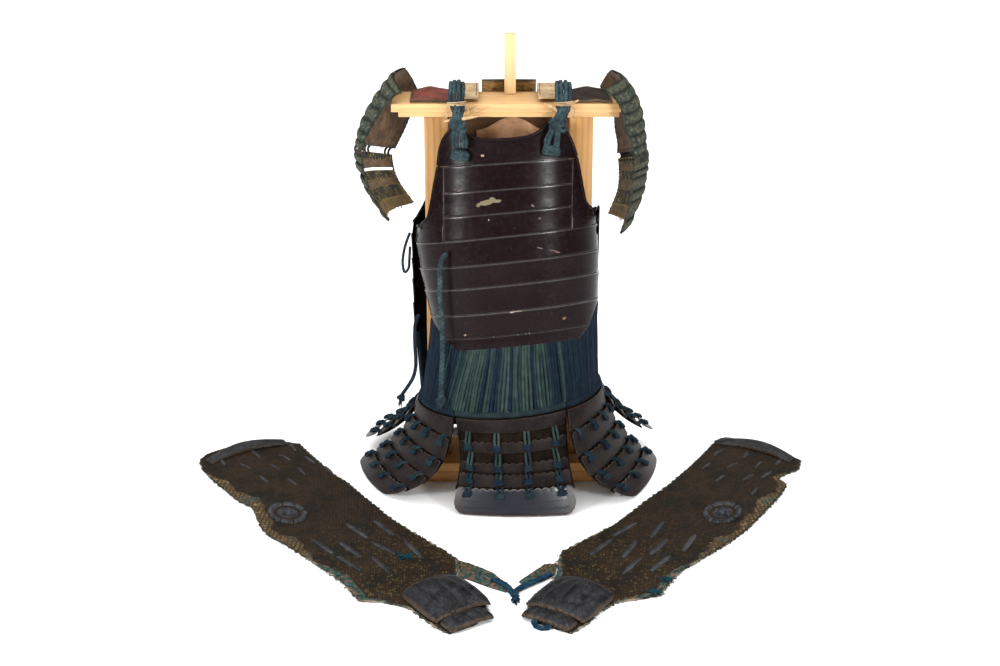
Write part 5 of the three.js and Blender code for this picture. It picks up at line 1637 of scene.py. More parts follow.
def bind_guard(binding, surface, chance):
    """Cord along a section's long edges, with loose threads at its ends."""
    for edge in (0.0, 1.0):
        line = surface(np.linspace(0.01, 0.99, 48), np.full(48, edge))
        binding.add(line, 1.0 + 0.25 * np.sin(np.arange(48) * 1.9), 0.35)
    for end, way in ((0.995, 1), (0.005, -1)):
        for _ in range(26):
            place = chance.uniform(0.02, 0.98)
            start = surface(np.array([end]), np.array([place]))[0]
            fall = surface(np.array([min(end, 0.99)]), np.array([place]))[0] - surface(
                np.array([min(end, 0.99) - 0.01]), np.array([place]))[0]
            aim = start + fall * (way * chance.uniform(1.2, 4.5)) + chance.normal(0, 1.2, 3)
            binding.add(curve_through([start, (start + aim) / 2 + chance.normal(0, 0.5, 3), aim], 5), 0.28,
                        chance.uniform(0.3, 1.1))


def link_sections(binding, guard):
    """Short cords across the gap between a guard's two sections."""
    upper = guard_surface(guard, guard["upper"])
    lower = guard_surface(guard, guard["lower"])
    places = (0.04, 0.09, 0.3, 0.36, 0.64, 0.7, 0.93, 0.97) if guard["side"] == "left" else np.linspace(0.01, 0.99, 48)
    for place in places:
        start = upper(np.array([0.93]), np.array([place]))[0]
        end = lower(np.array([0.08]), np.array([place]))[0]
        middle = (start + end) / 2 + (guard["sign"] * 4, -2, 0)
        binding.add(curve_through([start, middle, end], 10), 1.25, 0.3)


def build_straps():
    """Two leather straps over the beam, each with a stitched edge."""
    stitches = Lines()
    for side, x in STRAPS:
        line = curve_through([(x, y, z) for y, z in STRAP_PATH], 61)
        tangent = unit(np.gradient(line, axis=0))
        normal = np.stack([np.zeros(61), tangent[:, 2], -tangent[:, 1]], axis=-1)
        across = np.linspace(-1, 1, 17)
        crown = 0.5 * (1 - across**4)
        wide = STRAP_WIDTH / 2
        base = line[:, None] + np.array([wide, 0, 0]) * across[None, :, None]
        outer = base + normal[:, None] * (STRAP_THICK + crown - 0.5)[None, :, None]
        loops = np.concatenate([outer, base[:, ::-1]], axis=1)
        shape = Shape()
        shape.loft(loops, slot=0)
        piece_for(shape, f"shoulder_strap_{side}", "leather", "pale_leather")
        for edge in (-0.86, 0.86):
            for k in range(3, 56, 2):
                path = [line[k + t] + normal[k + t] * (STRAP_THICK + 0.15) + (wide * edge, 0, 0) for t in (0, 1)]
                stitches.add(curve_through([path[0], (path[0] + path[1]) / 2 + normal[k] * 0.35, path[1]], 5), 1.0)
    place_piece(stitches.cords("strap_stitches", 0.0005, "dark_cord", sides=5), "teal_cord")


def build_flaps():
    """Cloth flaps that lie on the beam beside the straps."""
    for side, start, end in FLAPS:
        def surface(u, v, start=start, end=end):
            u, v = np.broadcast_arrays(u, v)
            swell = FLAP["swell"] * np.sin(np.pi * np.clip(v, 0, 1)) * (0.35 + 0.65 * np.clip(u, 0, 1))
            ripple = 1.1 * np.sin(v * 11 + u * 3) * np.sin(np.pi * np.clip(v, 0, 1)) ** 2
            return np.stack([start + (end - start) * v, FLAP["front"] + (FLAP["back"] - FLAP["front"]) * u,
                             FLAP["bottom"] + 0.6 + swell + ripple], axis=-1)
        loops, flat, (deep, wide) = sheet_sections(surface, 41, 49, FLAP["thick"])
        v = np.linspace(0, 1, 49)
        u = np.linspace(0, 1, 41)[:, None]
        near = np.minimum(np.minimum(v, 1 - v)[None, :] * wide, np.minimum(u, 1 - u) * deep)
        edge = np.clip(1.6 - near / 3.2, 0, 1)
        shape = Shape()
        shape.loft(loops, flat, slot=0, marks={"edge": np.concatenate([edge, edge[:, ::-1]], axis=1)})
        cloth = "red_cloth" if side == "left" else "dark_cloth"
        made = piece_for(shape, f"shoulder_flap_{side}", cloth, cloth)


# Strands of a shoulder cord: across from its middle line, out to the front, and height, from the top down.
STRANDS = (
    ((-9.6, -16, 727), (-10.4, -32, 741), (-10.4, -49, 735), (-10, -57, 716),
     (-7.2, -59, 703), (-2.4, -61, 692), (-0.8, -62, 682)),
    ((-3.6, -16, 727), (-3.8, -33, 743), (-3.7, -51, 737), (-4, -60, 717),
     (-1.6, -62, 704), (-4.8, -62, 693), (-5.6, -62, 682)),
    ((3.4, -16, 727), (3.5, -33, 743), (3.7, -51, 737), (4, -60, 717),
     (4.8, -62, 704), (2.4, -63, 693), (3.2, -63, 682)),
    ((9.6, -16, 727), (10.4, -32, 740), (10.4, -49, 733), (10, -57, 715),
     (9.6, -59, 703), (6.4, -61, 692), (5.6, -62, 682)),
    ((-4, -63, 682), (-5.6, -63, 672), (-8, -64, 660), (-9.6, -66, 648), (-8, -68, 638)),
    ((-0.8, -65, 682), (-2.4, -65, 672), (-4, -66, 660), (-4.8, -69, 648), (-4.8, -70, 638)),
    ((0.8, -65, 682), (2.4, -65, 672), (4.8, -66, 660), (6.4, -69, 648), (5.6, -70, 638)),
    ((4, -63, 682), (5.6, -63, 672), (8.8, -64, 660), (11.2, -66, 648), (8.8, -68, 638)),
)


def build_shoulder_cords():
    """Doubled braided cords over the shoulders, each tied over a toggle and knotted on the chest."""
    chance = np.random.default_rng(SEED + 2)
    for side, path, knot, toggle in SHOULDER_CORDS:
        lines, ties = Lines(), Lines()
        line = np.array(path, float)
        heights, middles = line[::-1, 2][:6], line[::-1, 0][:6]
        outward = line[::-1, 1][:6]

        def placed(point, heights=heights, middles=middles, outward=outward):
            x, y, z = point
            order = np.argsort(heights)
            shift = np.interp(z, heights[order], outward[order]) - np.interp(z, (626, 655, 692), (-72, -62, -58))
            return (np.interp(z, heights[order], middles[order]) + x, y + (shift if z < 700 else 0), z)

        for number, strand in enumerate(STRANDS):
            points = np.array([placed(point) for point in strand]) + chance.normal(0, 0.5, (len(strand), 3))
            lines.add(curve_through(points, 40), 0.92 if number < 4 else 0.86, 0.0)
        centre = np.array(placed((0, -63, 677)))
        for turn in range(4):
            t = np.linspace(0, 1, 26) * 2 * math.pi + turn
            tilt = (-0.5, 0.35, 0.1, -0.2)[turn]
            wide, high = ((12.5, 6.5), (11.5, 7), (10, 4), (11, 8.5))[turn]
            loop = np.stack([np.cos(t) * wide, np.sin(t) * (7.5 - turn), np.cos(t) * wide * tilt + np.sin(t * 2) * 1.5
                             + (turn - 1.5) * 2.6 + np.sin(t) * high * 0.25], axis=-1)
            lines.add(centre + loop, 0.82, 0.0)
        for turn in range(5):
            t = np.linspace(0, 1, 26) * 2 * math.pi
            wide = (12.5, 11.5, 10, 12, 7)[turn]
            lift = (-3.5, -0.5, 3.2, -6, 5.5)[turn]
            loop = np.stack([np.cos(t) * wide, np.sin(t) * 6.5 + 3, lift + np.cos(t + turn) * 1.6], axis=-1)
            lines.add(np.array(knot) + loop, 0.95, 0.0)
        place_piece(lines.cords(f"shoulder_cord_{side}_braid", 0.0041, "teal_cord", sides=12), "teal_cord",
                    f"shoulder_cord_{side}")
        string = np.array(placed((0, -60, 711)))
        for turn in range(3):
            t = np.linspace(0, 1, 26) * 2 * math.pi
            loop = np.stack([np.cos(t) * 15.5, np.sin(t) * 6.6 + 2, np.sin(t + turn) * 1.2 + turn * 1.7], axis=-1)
            ties.add(string + loop, 1.0, 0.0)
        for way in (-1, 1):
            ties.add(curve_through([string + (way * 14, 0, 0), string + (way * 19, -2, -9),
                                    string + (way * 17, -1, -24)],
                                   10), 0.8)
        place_piece(ties.cords(f"shoulder_string_{side}", 0.0011, "pale_leather", sides=7), "leather")
        start, end = (np.array(p, float) for p in toggle)
        share = np.linspace(0, 1, 21)
        shape = Shape()
        radius = 1.3 + 2.2 * np.sin(np.pi * share) ** 0.8
        forward = np.array([0, -8.0, 0])
        shape.tube(start + forward + (end - start) * share[:, None], radius, sides=14)
        splinter = start + (end - start) * 0.62 + forward + (0, 3, 3)
        shape.tube(curve_through([splinter, splinter + (14, 2, 9), splinter + (29, 4, 16)], 9), 1.7, sides=10)
        place_piece(shape.piece(f"toggle_{side}", "toggle_wood"), "leather")


def build_side_cords():
    """The free cords at the open side."""
    chance = np.random.default_rng(SEED + 3)
    for name, diameter, far_end, lay, path in SIDE_CORDS:
        line = curve_through(path, 37)
        shape = Shape()
        shape.tube(line, diameter / 2, sides=20, side=(0.05, 1, 0.1), waisted=diameter > 6)
        finish_name = "teal_cord" if diameter > 8 else "dark_cord"
        made = place_piece(shape.piece(f"{name}_braid", finish_name), "indigo_cord", name)
        if far_end == "knot":
            tip = line[-1]
            knot = Lines()
            add_knot(knot, tip + (0, 0, -2), diameter * 0.95, chance, np.array([0.2, -1, 0.1]))
            add_knot(knot, tip + (1, 0, -5), diameter * 0.8, chance, np.array([-0.3, -1, 0.1]))
            for _ in range(10):
                aim = tip + (chance.normal(0, 2.5), chance.normal(0, 1.5), -18 + chance.normal(0, 2))
                knot.add(curve_through([tip + (0, 0, -6), (tip + aim) / 2, aim], 6), 0.28, 0.4)
            place_piece(knot.cords(f"{name}_knot", diameter / 2 * MM, "dark_cord"), "indigo_cord")


# ------------------------------------------------------------------ sleeves
def sleeve_matrix(row):
    turn = math.radians(row["heading"])
    return np.array([[math.cos(turn), -math.sin(turn)], [math.sin(turn), math.cos(turn)]])


def laid(row, local):
    """Points given along, across and up a sleeve, in the row frame."""
    local = np.asarray(local, float)
    flat = local[..., :2] @ sleeve_matrix(row).T + np.array(row["start"])
    return np.concatenate([flat, local[..., 2:]], axis=-1)


def sleeve_edges(row, along):
    """The sleeve's two edges at places along it, a little ragged."""
    low = np.interp(along, row["along"], row["low"])
    high = np.interp(along, row["along"], row["high"])
    ragged = np.sin(along * 0.37) + np.sin(along * 0.81 + 2) + np.sin(along * 1.7 + 1)
    return low + ragged * 0.8 + 1.5, high - np.sin(along * 0.43 + 1) * 1.2 - np.sin(along * 1.3) * 0.8 - 1.5


def sleeve_height(along, share):
    """Height of a sleeve's top: thin at its edges, with soft folds between them."""
    body = np.clip(np.sin(np.pi * np.clip(share, 0, 1)), 0, 1) ** 0.45
    fold = (np.sin(along * 0.045 + share * 5) + np.sin(along * 0.083 - share * 8 + 1) * 0.6
            + np.sin(along * 0.021 + share * 14) * 0.5)
    pucker = np.sin(along * 0.31 + np.sin(share * 21) * 2) * np.sin(share * 27 + along * 0.07) * 0.35
    return SLEEVE_THICK * (0.42 + 0.58 * body) + (fold * 0.55 + pucker) * body


def build_sleeves():
    fringe, binding, ends = Lines(), Lines(), Lines()
    chance = np.random.default_rng(SEED + 4)
    for row in SLEEVES:
        build_sleeve_body(row)
        build_sleeve_plates(row)
        build_splints(row)
        add_edges(row, fringe, binding, chance)
        add_tufts(row, ends, chance)
    place_piece(fringe.cords("sleeve_fringe", 0.0011, "dull_thread", sides=THREAD_SIDES), "loop_cloth")
    place_piece(binding.cords("sleeve_binding", 0.0018, "dull_thread"), "loop_cloth")
    place_piece(ends.cords("sleeve_blue_ends", 0.0019, "blue_thread"), "loop_cloth")


def puffed(row, along, low, high, across):
    """How far a place lies inside the puffed cloth edge: one in the cloth, nothing in the mail."""
    bumps = 5 * np.sin(along * 0.07) + 4 * np.sin(along * 0.031 + 1) + 2 * np.sin(along * 0.19)
    main = np.interp(along, (60, 110, 150, 380, 440, 470), (0, 17, 20, 20, 12, 0))
    main = main + bumps * (along > 90) * (along < 450)
    wrist = np.interp(along, (470, 500, 540, 610, 640, 660), (0, 10, 15, 14, 8, 0))
    near_main, near_other = (across - low, high - across) if row["brocade"] < 0 else (high - across, across - low)
    reach = np.maximum(main, wrist)
    inside = np.maximum(reach - near_main, np.interp(along, (560, 600, 640, 655), (0, 7, 9, 0)) - near_other)
    return np.clip(inside / 3, 0, 1), inside


def build_sleeve_body(row):
    rows, columns = SLEEVE_GRID
    along = np.linspace(row["along"][0], row["along"][-1], rows)
    low, high = sleeve_edges(row, along)
    share = np.linspace(0, 1, columns)
    across = low[:, None] + (high - low)[:, None] * share[None, :]
    cloth, inside = puffed(row, along[:, None], low[:, None], high[:, None], across)
    height = sleeve_height(along[:, None], share[None, :])
    ruffle = 1 + 0.35 * np.sin(along[:, None] * 0.5 + across * 0.12) * np.sin(along[:, None] * 0.17)
    height = height + cloth * np.clip(inside / 12, 0, 1) ** 0.5 * 2.6 * ruffle - cloth * (inside < 4) * 0.8
    top = np.stack([np.broadcast_to(along[:, None], across.shape), across, np.maximum(height, 0.9)], axis=-1)
    under = top[:, ::-1].copy()
    under[..., 2] = 0.2
    loops = laid(row, np.concatenate([top, under], axis=1))
    flat = np.concatenate([top, under], axis=1)[..., :2]
    teal = np.clip((along[:, None] - 455) / 50, 0, 1) * np.ones_like(across)
    patches = np.sin(along[:, None] * 0.05 + 1) * np.sin(along[:, None] * 0.023) > 0.55
    teal = np.clip(np.maximum(teal, patches * 0.5), 0, 1)
    shape = Shape()
    shape.loft(loops, flat, slot=0, marks={"tone": np.concatenate([teal, teal[:, ::-1]], axis=1)})
    slots = np.zeros((rows - 1, columns * 2), int)
    slots[:, :columns - 1] = cloth[:-1, :-1] > 0.3
    slots[:, columns:] = 1
    shape.slots[:slots.size] = slots.ravel().tolist()
    area = float(np.sum((high[1:] + high[:-1] - low[1:] - low[:-1]) / 2 * np.diff(along))) * MM * MM
    made = piece_for(shape, f"sleeve_{row['side']}_mail", "mail", "mail", "sleeve_cloth", angle=70)
    wide_flat = float((high.max() - low.min()) * MM)


def dome(row, along, across, rise, bottom, ribs, rows=41, columns=49):
    """A plate arched over a rectangle, with raised ribs along it."""
    u = np.linspace(0, 1, rows)[:, None]
    v = np.linspace(0, 1, columns)[None, :]
    fall = np.where(u > 0.5, 0.4 + 0.6 * np.sin(np.pi * u) ** 0.7, 0.72 + 0.28 * np.sin(np.pi * u))
    swell = np.sqrt(np.clip(1 - (2 * v - 1) ** 2, 0, 1)) * fall
    rib = np.abs(np.sin(v * ribs * math.pi)) ** 0.6 * np.clip(np.sin(np.pi * np.clip(u * 1.1 - 0.1, 0, 1)), 0, 1) ** 0.4
    high = rise * swell * 0.9 + 0.8 + rib * 3.0 * (swell > 0.2)
    round_corner = 1 - 0.10 * (np.abs(2 * u - 1) ** 6)
    middle = (across[0] + across[1]) / 2
    wide = (across[1] - across[0]) / 2
    y = middle + (2 * v - 1) * wide * round_corner
    x = along[0] + (along[1] - along[0]) * u + 0 * v
    outer = np.stack([x, y, bottom + high], axis=-1)
    inner = np.stack([x, middle + (y - middle) * 0.985, bottom + np.maximum(0, high - PLATE)], axis=-1)
    loops = laid(row, np.concatenate([outer, inner[:, ::-1]], axis=1))
    flat = np.concatenate([outer, outer[:, ::-1]], axis=1)[..., :2]
    away = np.minimum(np.minimum(u, 1 - u) * (along[1] - along[0]), np.minimum(v, 1 - v) * (across[1] - across[0]))
    edge = np.clip(1 - away / 7, 0, 1)
    return loops, flat, {"edge": np.concatenate([edge, edge[:, ::-1]], axis=1)}


def build_sleeve_plates(row):
    side = row["side"]
    bottom = SLEEVE_THICK + GAP
    for node, (along, across), rise, ribs in (
        ("hand_guard", row["guard"], GUARD_RISE, 4), ("finger_plate", row["finger"], FINGER_RISE, 4),
    ):
        shape = Shape()
        loops, flat, marks = dome(row, along, across, rise, bottom, ribs)
        shape.loft(loops, flat, slot=0, marks=marks)
        piece_for(shape, f"sleeve_{side}_{node}", "sleeve_plate", "hand_lacquer", angle=55)
    long, wide, high = ROSETTE
    radius = np.array([1, 0.985, 0.96, 0.9, 0.83, 0.78, 0.73, 0.69, 0.5, 0.45, 0.43, 0.38, 0.3, 0.27, 0.2, 0.17, 0.05])
    rise = np.array([0.05, 0.4, 0.72, 1, 0.98, 0.8, 0.4, 0.3, 0.3, 0.32, 0.7, 0.95, 0.8, 0.5, 0.5, 0.95, 1.05])
    angle = np.linspace(0, 2 * math.pi, 144, endpoint=False)
    tooth = np.abs(np.sin(angle * 22))[None, :] ** 0.7
    split = np.clip(np.abs(np.sin(angle * 2 + 0.6)) * 3.2 - 0.15, 0, 1)[None, :] ** 0.6
    ring = ((radius > 0.71) | ((radius > 0.28) & (radius < 0.5))).astype(float)[:, None]
    outer = (radius > 0.71).astype(float)[:, None]
    height = rise[:, None] * high * (1 - 0.6 * ring * (1 - tooth)) * (1 - 0.75 * outer * (1 - split))
    grow = radius[:, None] * (1 - 0.05 * (1 - tooth) * ring)
    x = row["rosette"][0] + np.cos(angle)[None, :] * grow * long
    y = row["rosette"][1] + np.sin(angle)[None, :] * grow * wide
    shape = Shape()
    loops = laid(row, np.stack([x, y, bottom + height - high * 0.05], axis=-1))
    shape.loft(loops, np.stack([x, y], axis=-1), slot=0)
    dip = (radius[:-1] < 0.71) & (radius[:-1] > 0.5)
    mailed = dip[:, None] | ((radius[:-1] > 0.71)[:, None] & (split < 0.5))
    shape.slots[:mailed.size] = mailed.astype(int).ravel().tolist()
    piece_for(shape, f"sleeve_{side}_elbow_rosette", "rosette_iron", "rosette_iron", "mail", angle=60)
    build_shoulder_plate(row, bottom)
    build_finger_loop(row)


def build_shoulder_plate(row, bottom):
    """The bowed iron strip at the sleeve's head, with a rolled edge."""
    along, (low, high) = row["shoulder"]
    v = np.linspace(0, 1, 61)
    lift = 10 * np.sin(np.pi * v) + 3
    bow = -14 * np.sin(np.pi * v)
    y = low + (high - low) * v
    sections = []
    for k in range(61):
        wide, tall = 24, lift[k]
        profile = ((0, 0.15), (0, 0.7), (0.06, 0.96), (0.18, 1.0), (0.4, 0.86), (0.7, 0.74), (0.95, 0.66), (1, 0.5),
                   (1, 0.1), (0.5, 0.1))
        sections.append([(along + bow[k] + a * wide, y[k], bottom + b * tall - 0.3) for a, b in profile])
    shape = Shape()
    edge = np.array([0.6, 0.9, 0.8, 0.7, 0.2, 0.1, 0.4, 0.9, 0.6, 0])[None, :]
    shape.loft(laid(row, np.array(sections)), np.array(sections)[..., :2], slot=0, marks={"edge": edge})
    piece_for(shape, f"sleeve_{row['side']}_shoulder_plate", "sleeve_plate", "hand_lacquer", angle=50)


def build_finger_loop(row):
    """A padded cloth tab beside the hand, pinched along its length."""
    outline = np.array([*row["loop"], row["loop"][0]], float)
    share = np.linspace(0, 1, len(outline))
    even = np.stack([np.interp(np.arange(96) / 96, share, outline[:, axis]) for axis in (0, 1)], axis=-1)
    centre = even.mean(0)
    pinch = 0.4 * np.sin(np.arange(96) * 0.9) + 0.3 * np.sin(np.arange(96) * 2.3)
    rings = ((1.05, 0.25), (1.07, 1.5), (1.0, 3.2), (0.86, 4.1), (0.68, 3.2), (0.5, 3.9), (0.3, 3.3), (0.05, 3.6))
    loops = np.array([np.concatenate([centre + (even - centre) * grow, (high + pinch * (high > 1))[:, None]], axis=1)
                      for grow, high in rings])
    tone = np.clip((loops[..., 0] - even[:, 0].min()) / 60, 0, 1)
    shape = Shape()
    shape.loft(laid(row, loops), loops[..., :2], slot=0, marks={"tone": tone})
    piece_for(shape, f"sleeve_{row['side']}_finger_loop", "loop_cloth", "sleeve_cloth", angle=70)


SPLINT_SECTION = ((-1, 0), (-0.9, 0.62), (-0.4, 0.86), (0.05, 1), (0.5, 0.7), (0.92, 0.45), (1, 0), (0, -0.6))


def build_splints(row):
    """Slim ridged splints laid along the mail, short ones above the elbow and long ones below it."""
    shape = Shape()
    side, lift = np.array(SPLINT_SECTION).T
    for places, long, wide, tall in ((row["upper_splints"], 34, 6.5, 2.6), (row["fore_splints"], 66, 10.5, 2.4)):
        for along, across in places:
            low, high = (float(value[0]) for value in sleeve_edges(row, np.array([float(along)])))
            share = (across - low) / (high - low)
            s = np.linspace(0, 1, 15)
            taper = np.clip(np.sin(np.pi * (0.05 + 0.9 * s)), 0, 1) ** 0.3
            lean = 0.15 * math.sin(along * 3.1 + across)
            turn = math.sin(along * 1.7) * 0.8
            x = along + (s - 0.5) * long
            base = sleeve_height(x, share) - 0.3
            y = across + lean * (s - 0.5)[:, None] * long + side[None, :] * (wide / 2 * taper)[:, None]
            z = base[:, None] + lift[None, :] * (tall * taper)[:, None] + turn * side[None, :] * 0.5
            shape.loft(laid(row, np.stack([np.broadcast_to(x[:, None], y.shape), y, z], axis=-1)), slot=0)
    place_piece(shape.piece(f"sleeve_{row['side']}_splints", "sleeve_iron", angle=35), "rosette_iron")


def add_edges(row, fringe, binding, chance):
    """Bound edges and loose threads round a sleeve."""
    along = np.linspace(row["along"][0] + 2, row["along"][-1] - 2, 260)
    low, high = sleeve_edges(row, along)
    for edge, sign in ((low, -1), (high, 1)):
        cloth_side = sign == row["brocade"]
        line = np.stack([along, edge + sign * 0.3, np.full(260, 2.0)], axis=-1)
        tone = np.where(along > 440, 0.7, 0.2) + 0.3 * np.sin(along * 0.11)
        binding.add(laid(row, line), 0.8 + 0.25 * np.sin(along * 0.2) * np.sin(along * 0.043), np.clip(tone, 0, 1.2))
        for _ in range(230 if cloth_side else 130):
            k = int(chance.integers(0, 260))
            reach = chance.uniform(1.0, 6.0 if along[k] > 440 else 3.6)
            start = np.array([along[k], edge[k], chance.uniform(1.5, 3.5)])
            aim = start + (chance.normal(0, 2.8), sign * reach, -1.2)
            middle = (start + aim) / 2 + (chance.normal(0, 0.9), 0, chance.uniform(0, 1))
            fringe.add(laid(row, curve_through([start, middle, aim], 5)), 0.3 + chance.uniform(0, 0.4),
                       chance.uniform(0, 1.2))


# Loose ends of cord near each hand: where they run in a sleeve's own measure, and how thick they are.
LOOSE_ENDS = {
    "left": (((694, 92, 5), (716, 98, 5.5), (736, 97, 4.5), (752, 93, 3.4)),),
    "right": (((640, -70, 4.5), (662, -76, 5), (690, -84, 4.4), (716, -89, 3.8), (738, -78, 3.4)),
              ((776, -14, 5), (790, -10, 4.4), (797, 2, 3.8), (792, 12, 3.6), (780, 14, 4))),
}
TUFTS = {"left": ((546, 12), (551, 17)), "right": ((556, 100), (602, 104))}


def add_tufts(row, ends, chance):
    """Short blue cords by the hand with frayed ends, and tufts of thread on the mail."""
    for end in LOOSE_ENDS[row["side"]]:
        line = curve_through(end, 26)
        for offset in (-2.1, 2.1):
            moved = line + (0, offset, 0)
            ends.add(laid(row, moved), 1.75 + 0.2 * np.sin(np.arange(26) * 1.3), 0.25)
        for _ in range(26):
            start = line[-1] + chance.normal(0, 1.8, 3) * (1, 1, 0.4)
            heading = unit((line[-1] - line[-4])[None, :])[0]
            aim = start + heading * chance.uniform(5, 15) + chance.normal(0, 2.2, 3) * (1, 1, 0.3)
            aim[2] = max(aim[2], 0.8)
            ends.add(laid(row, curve_through([start, (start + aim) / 2, aim], 5)), 0.55, 0.35)
    for along, across in TUFTS[row["side"]]:
        for _ in range(34):
            start = np.array([along, across, SLEEVE_THICK + 0.5]) + chance.normal(0, 1.6, 3) * (1, 1, 0.3)
            aim = start + chance.normal(0, 6, 3) * (1, 1, 0.25) + (0, 0, 1.6)
            ends.add(laid(row, curve_through([start, (start + aim) / 2 + (0, 0, 1.4), aim], 5)), 0.5, 0.7)


# ------------------------------------------------------------------ the stand
def build_boards():
    """The stand's boards, their edges eased and the beam grooved along its front."""
    sizes = bpy.context.scene.armour_sizes
    # The last number lifts a board's tone to a brighter orange, partly as painted light on the base in the tassets'
    # shade.
    for number, (node, upright, pale, warm) in enumerate((
        ("stand_base", 0, 0, 1), ("stand_upright_left", 1, 0, 0), ("stand_upright_right", 1, 0, 0.15),
        ("stand_beam", 0, 0.3, 0.1), ("stand_post", 1, 0.85, 0),
    )):
        low, high = (np.array(corner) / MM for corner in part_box(node))
        bevel = sizes.board_bevel / MM
        parts = [(low, high)]
        if node == "stand_beam":
            batten_low, batten_high = low.copy(), high.copy()
            batten_high[2] = low[2] + 9.2
            batten_low[0], batten_high[0] = -188, 188
            batten_low[1], batten_high[1] = -38, 43
            plank_low = low.copy()
            plank_low[2] = low[2] + 10
            parts = [(batten_low, batten_high), (plank_low, high)]
        if node == "stand_base":
            seam = low[2] + 20
            lower_high, upper_low = high.copy(), low.copy()
            lower_high[2], upper_low[2] = seam - 0.3, seam + 0.3
            parts = [(low, lower_high), (upper_low, high), (low + (2, 2, 1), high - (2, 2, 1))]
        shape = Shape()
        for part_low, part_high in parts:
            marks = {"grain_up": float(upright), "grain_seed": float(number), "pale": pale, "warm": warm}
            add_board(shape, part_low, part_high, bevel, marks,
                      groove=node == "stand_beam" and part_high[2] == high[2])
        piece_for(shape, node, "pine", "pine", angle=30)


def add_board(shape, low, high, bevel, marks, groove=False):
    """A board as a loft along X of its rounded section."""
    (x0, y0, z0), (x1, y1, z1) = low, high
    b = bevel
    section = [(y0, z0 + b), (y0 + b * 0.3, z0 + b * 0.3), (y0 + b, z0), (y1 - b, z0), (y1 - b * 0.3, z0 + b * 0.3),
               (y1, z0 + b), (y1, z1 - b), (y1 - b * 0.3, z1 - b * 0.3), (y1 - b, z1)]
    if groove:
        section += [(y0 + 13, z1), (y0 + 12.4, z1 - 0.9), (y0 + 11.2, z1 - 0.9), (y0 + 10.6, z1)]
    section += [(y0 + b, z1), (y0 + b * 0.3, z1 - b * 0.3), (y0, z1 - b)]
    section = np.array(section, float)
    middle = section.mean(0)
    sections = []
    for x, shrink in ((x0, b), (x0 + b * 0.3, b * 0.3), (x0 + b, 0), (x1 - b, 0), (x1 - b * 0.3, b * 0.3), (x1, b)):
        pulled = section - np.clip(section - middle, -shrink, shrink)
        sections.append(np.concatenate([np.full((len(section), 1), x), pulled], axis=1))
    shape.loft(np.array(sections), slot=0, marks=marks)


# ------------------------------------------------------------------ the stage
CAMERA_PLACE = (-0.01493, -3.02976, 1.43805)
CAMERA_PITCH = 69
CAMERA_LENS = 64.8
# Name, place, size and power of each lamp.
LAMPS = (
    ("lamp_above", (0.0, 0.5, 6.5), 14.0, 1450),
    ("lamp_left", (-1.9, -1.86, 1.12), 0.5, 54),
    ("lamp_right", (1.54, -2.16, 1.12), 0.5, 46),
    ("lamp_front", (-0.9, -3.6, 2.9), 1.6, 12),
)


def build_stage():
    scene = bpy.context.scene
    scene.view_settings.view_transform = "Standard"
    camera = bpy.data.objects.new("camera", bpy.data.cameras.new("camera"))
    camera.data.lens = CAMERA_LENS
    camera.data.sensor_width = 36
    camera.data.clip_end = 100
    camera.location = CAMERA_PLACE
    camera.rotation_euler = (math.radians(CAMERA_PITCH), 0, 0)
    scene.collection.objects.link(camera)
    scene.camera = camera
    world = bpy.data.worlds.new("studio")
    world.use_nodes = True
    world.node_tree.nodes["Background"].inputs["Color"].default_value = (1, 1, 1, 1)
    world.node_tree.nodes["Background"].inputs["Strength"].default_value = 0.16
    scene.world = world
    floor = bpy.data.meshes.new("floor")
    half = 14
    corners = [(-half, -half, -0.0005), (half, -half, -0.0005), (half, half, -0.0005), (-half, half, -0.0005)]
    floor.from_pydata(corners, [], [(0, 1, 2, 3)])
    floor.materials.append(finish("floor_paint"))
    ground = bpy.data.objects.new("floor", floor)
    scene.collection.objects.link(ground)
    for name, place, size, power in LAMPS:
        lamp = bpy.data.lights.new(name, "AREA")
        lamp.size = size
        lamp.energy = power
        made = bpy.data.objects.new(name, lamp)
        made.location = place
        made.rotation_mode = "QUATERNION"
        aim = Vector((place[0] * 0.2, 0, 0)) if name == "lamp_above" else Vector((0, -0.05, 0.45))
        made.rotation_quaternion = (aim - Vector(place)).to_track_quat("-Z", "Y")
        scene.collection.objects.link(made)


# ------------------------------------------------------------------ operators
class ARMOUR_OT_stage(bpy.types.Operator):
    """Make the camera, the lamps and the floor"""

    bl_idname = "armour.stage"
    bl_label = "Stage"

    def execute(self, context):
        build_stage()
        return {"FINISHED"}


class ARMOUR_OT_cords(bpy.types.Operator):
    """Make the free cords at the open side"""

    bl_idname = "armour.cords"
    bl_label = "Side Cords"

    def execute(self, context):
        build_side_cords()
        return {"FINISHED"}


class ARMOUR_OT_stand(bpy.types.Operator):
    """Make the wooden stand's boards"""

    bl_idname = "armour.stand"
    bl_label = "Stand"

    def execute(self, context):
        build_boards()
        return {"FINISHED"}


class ARMOUR_OT_front(bpy.types.Operator):
    """Make the front of the cuirass"""

    bl_idname = "armour.front"
    bl_label = "Front Plates"

    def execute(self, context):
        build_front()
        return {"FINISHED"}


class ARMOUR_OT_back(bpy.types.Operator):
    """Make the back of the cuirass, its lining and its hinge"""

    bl_idname = "armour.back"
    bl_label = "Back Plates"

    def execute(self, context):
        build_back()
        build_linings()
        build_hinge()
        return {"FINISHED"}


class ARMOUR_OT_waist(bpy.types.Operator):
    """Make the falls of cord between cuirass and skirt"""

    bl_idname = "armour.waist"
    bl_label = "Waist Cords"

    def execute(self, context):
        build_waist_cords()
        return {"FINISHED"}


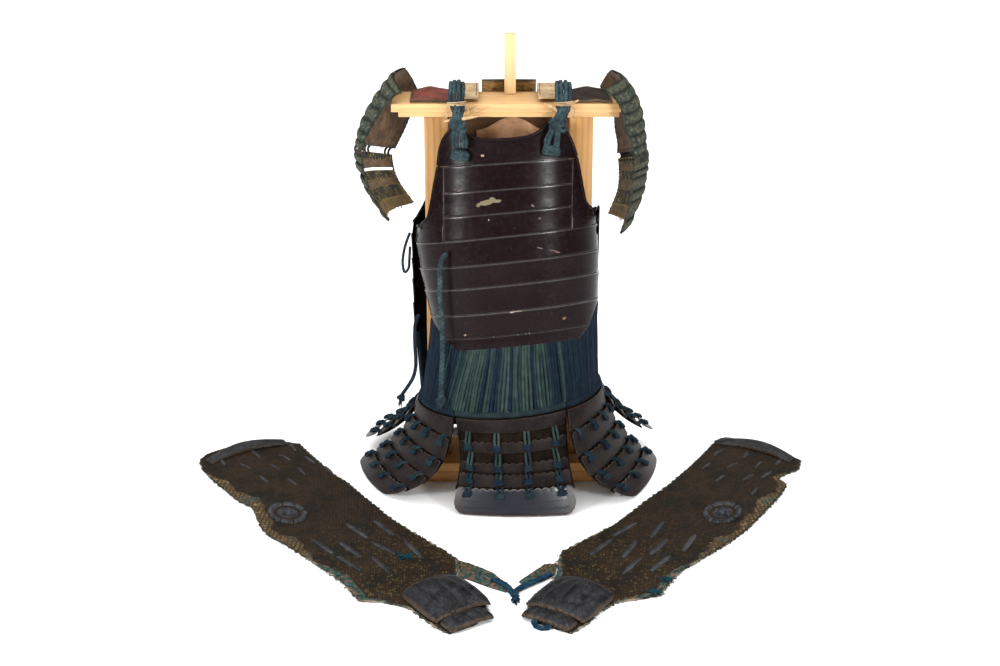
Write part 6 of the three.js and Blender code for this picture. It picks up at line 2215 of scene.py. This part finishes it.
class ARMOUR_OT_tassets(bpy.types.Operator):
    """Make the skirt's lames with their laces"""

    bl_idname = "armour.tassets"
    bl_label = "Tassets"

    def execute(self, context):
        build_tassets()
        return {"FINISHED"}


class ARMOUR_OT_guards(bpy.types.Operator):
    """Make the shoulder guards"""

    bl_idname = "armour.guards"
    bl_label = "Shoulder Guards"

    def execute(self, context):
        build_guards()
        return {"FINISHED"}


class ARMOUR_OT_shoulders(bpy.types.Operator):
    """Make the straps, flaps and shoulder cords"""

    bl_idname = "armour.shoulders"
    bl_label = "Shoulders"

    def execute(self, context):
        build_straps()
        build_flaps()
        build_shoulder_cords()
        return {"FINISHED"}


class ARMOUR_OT_sleeves(bpy.types.Operator):
    """Make the pair of mail sleeves"""

    bl_idname = "armour.sleeves"
    bl_label = "Sleeves"

    def execute(self, context):
        build_sleeves()
        return {"FINISHED"}


OPERATORS = (
    ARMOUR_OT_stage, ARMOUR_OT_cords, ARMOUR_OT_stand, ARMOUR_OT_front,
    ARMOUR_OT_back, ARMOUR_OT_waist, ARMOUR_OT_tassets, ARMOUR_OT_guards,
    ARMOUR_OT_shoulders, ARMOUR_OT_sleeves,
)


class ARMOUR_PT_build(bpy.types.Panel):
    """Lists the armour's pieces"""

    bl_label = "Samurai Armour"
    bl_space_type = "VIEW_3D"
    bl_region_type = "UI"
    bl_category = "Armour"

    def draw(self, context):
        for group in (context.scene.armour_sizes, context.scene.armour_colours):
            for key in group.__annotations__:
                self.layout.prop(group, key)
        for made in OPERATORS:
            self.layout.operator(made.bl_idname)


CLASSES = (ArmourSizes, ArmourColours, *OPERATORS, ARMOUR_PT_build)


def register():
    for made in CLASSES:
        bpy.utils.register_class(made)
    bpy.types.Scene.armour_sizes = bpy.props.PointerProperty(type=ArmourSizes)
    bpy.types.Scene.armour_colours = bpy.props.PointerProperty(type=ArmourColours)


def unregister():
    del bpy.types.Scene.armour_sizes
    del bpy.types.Scene.armour_colours
    for made in reversed(CLASSES):
        bpy.utils.unregister_class(made)


def main():
    register()
    for made in OPERATORS:
        getattr(bpy.ops.armour, made.bl_idname.split(".")[1])()


if __name__ == "__main__":
    main()
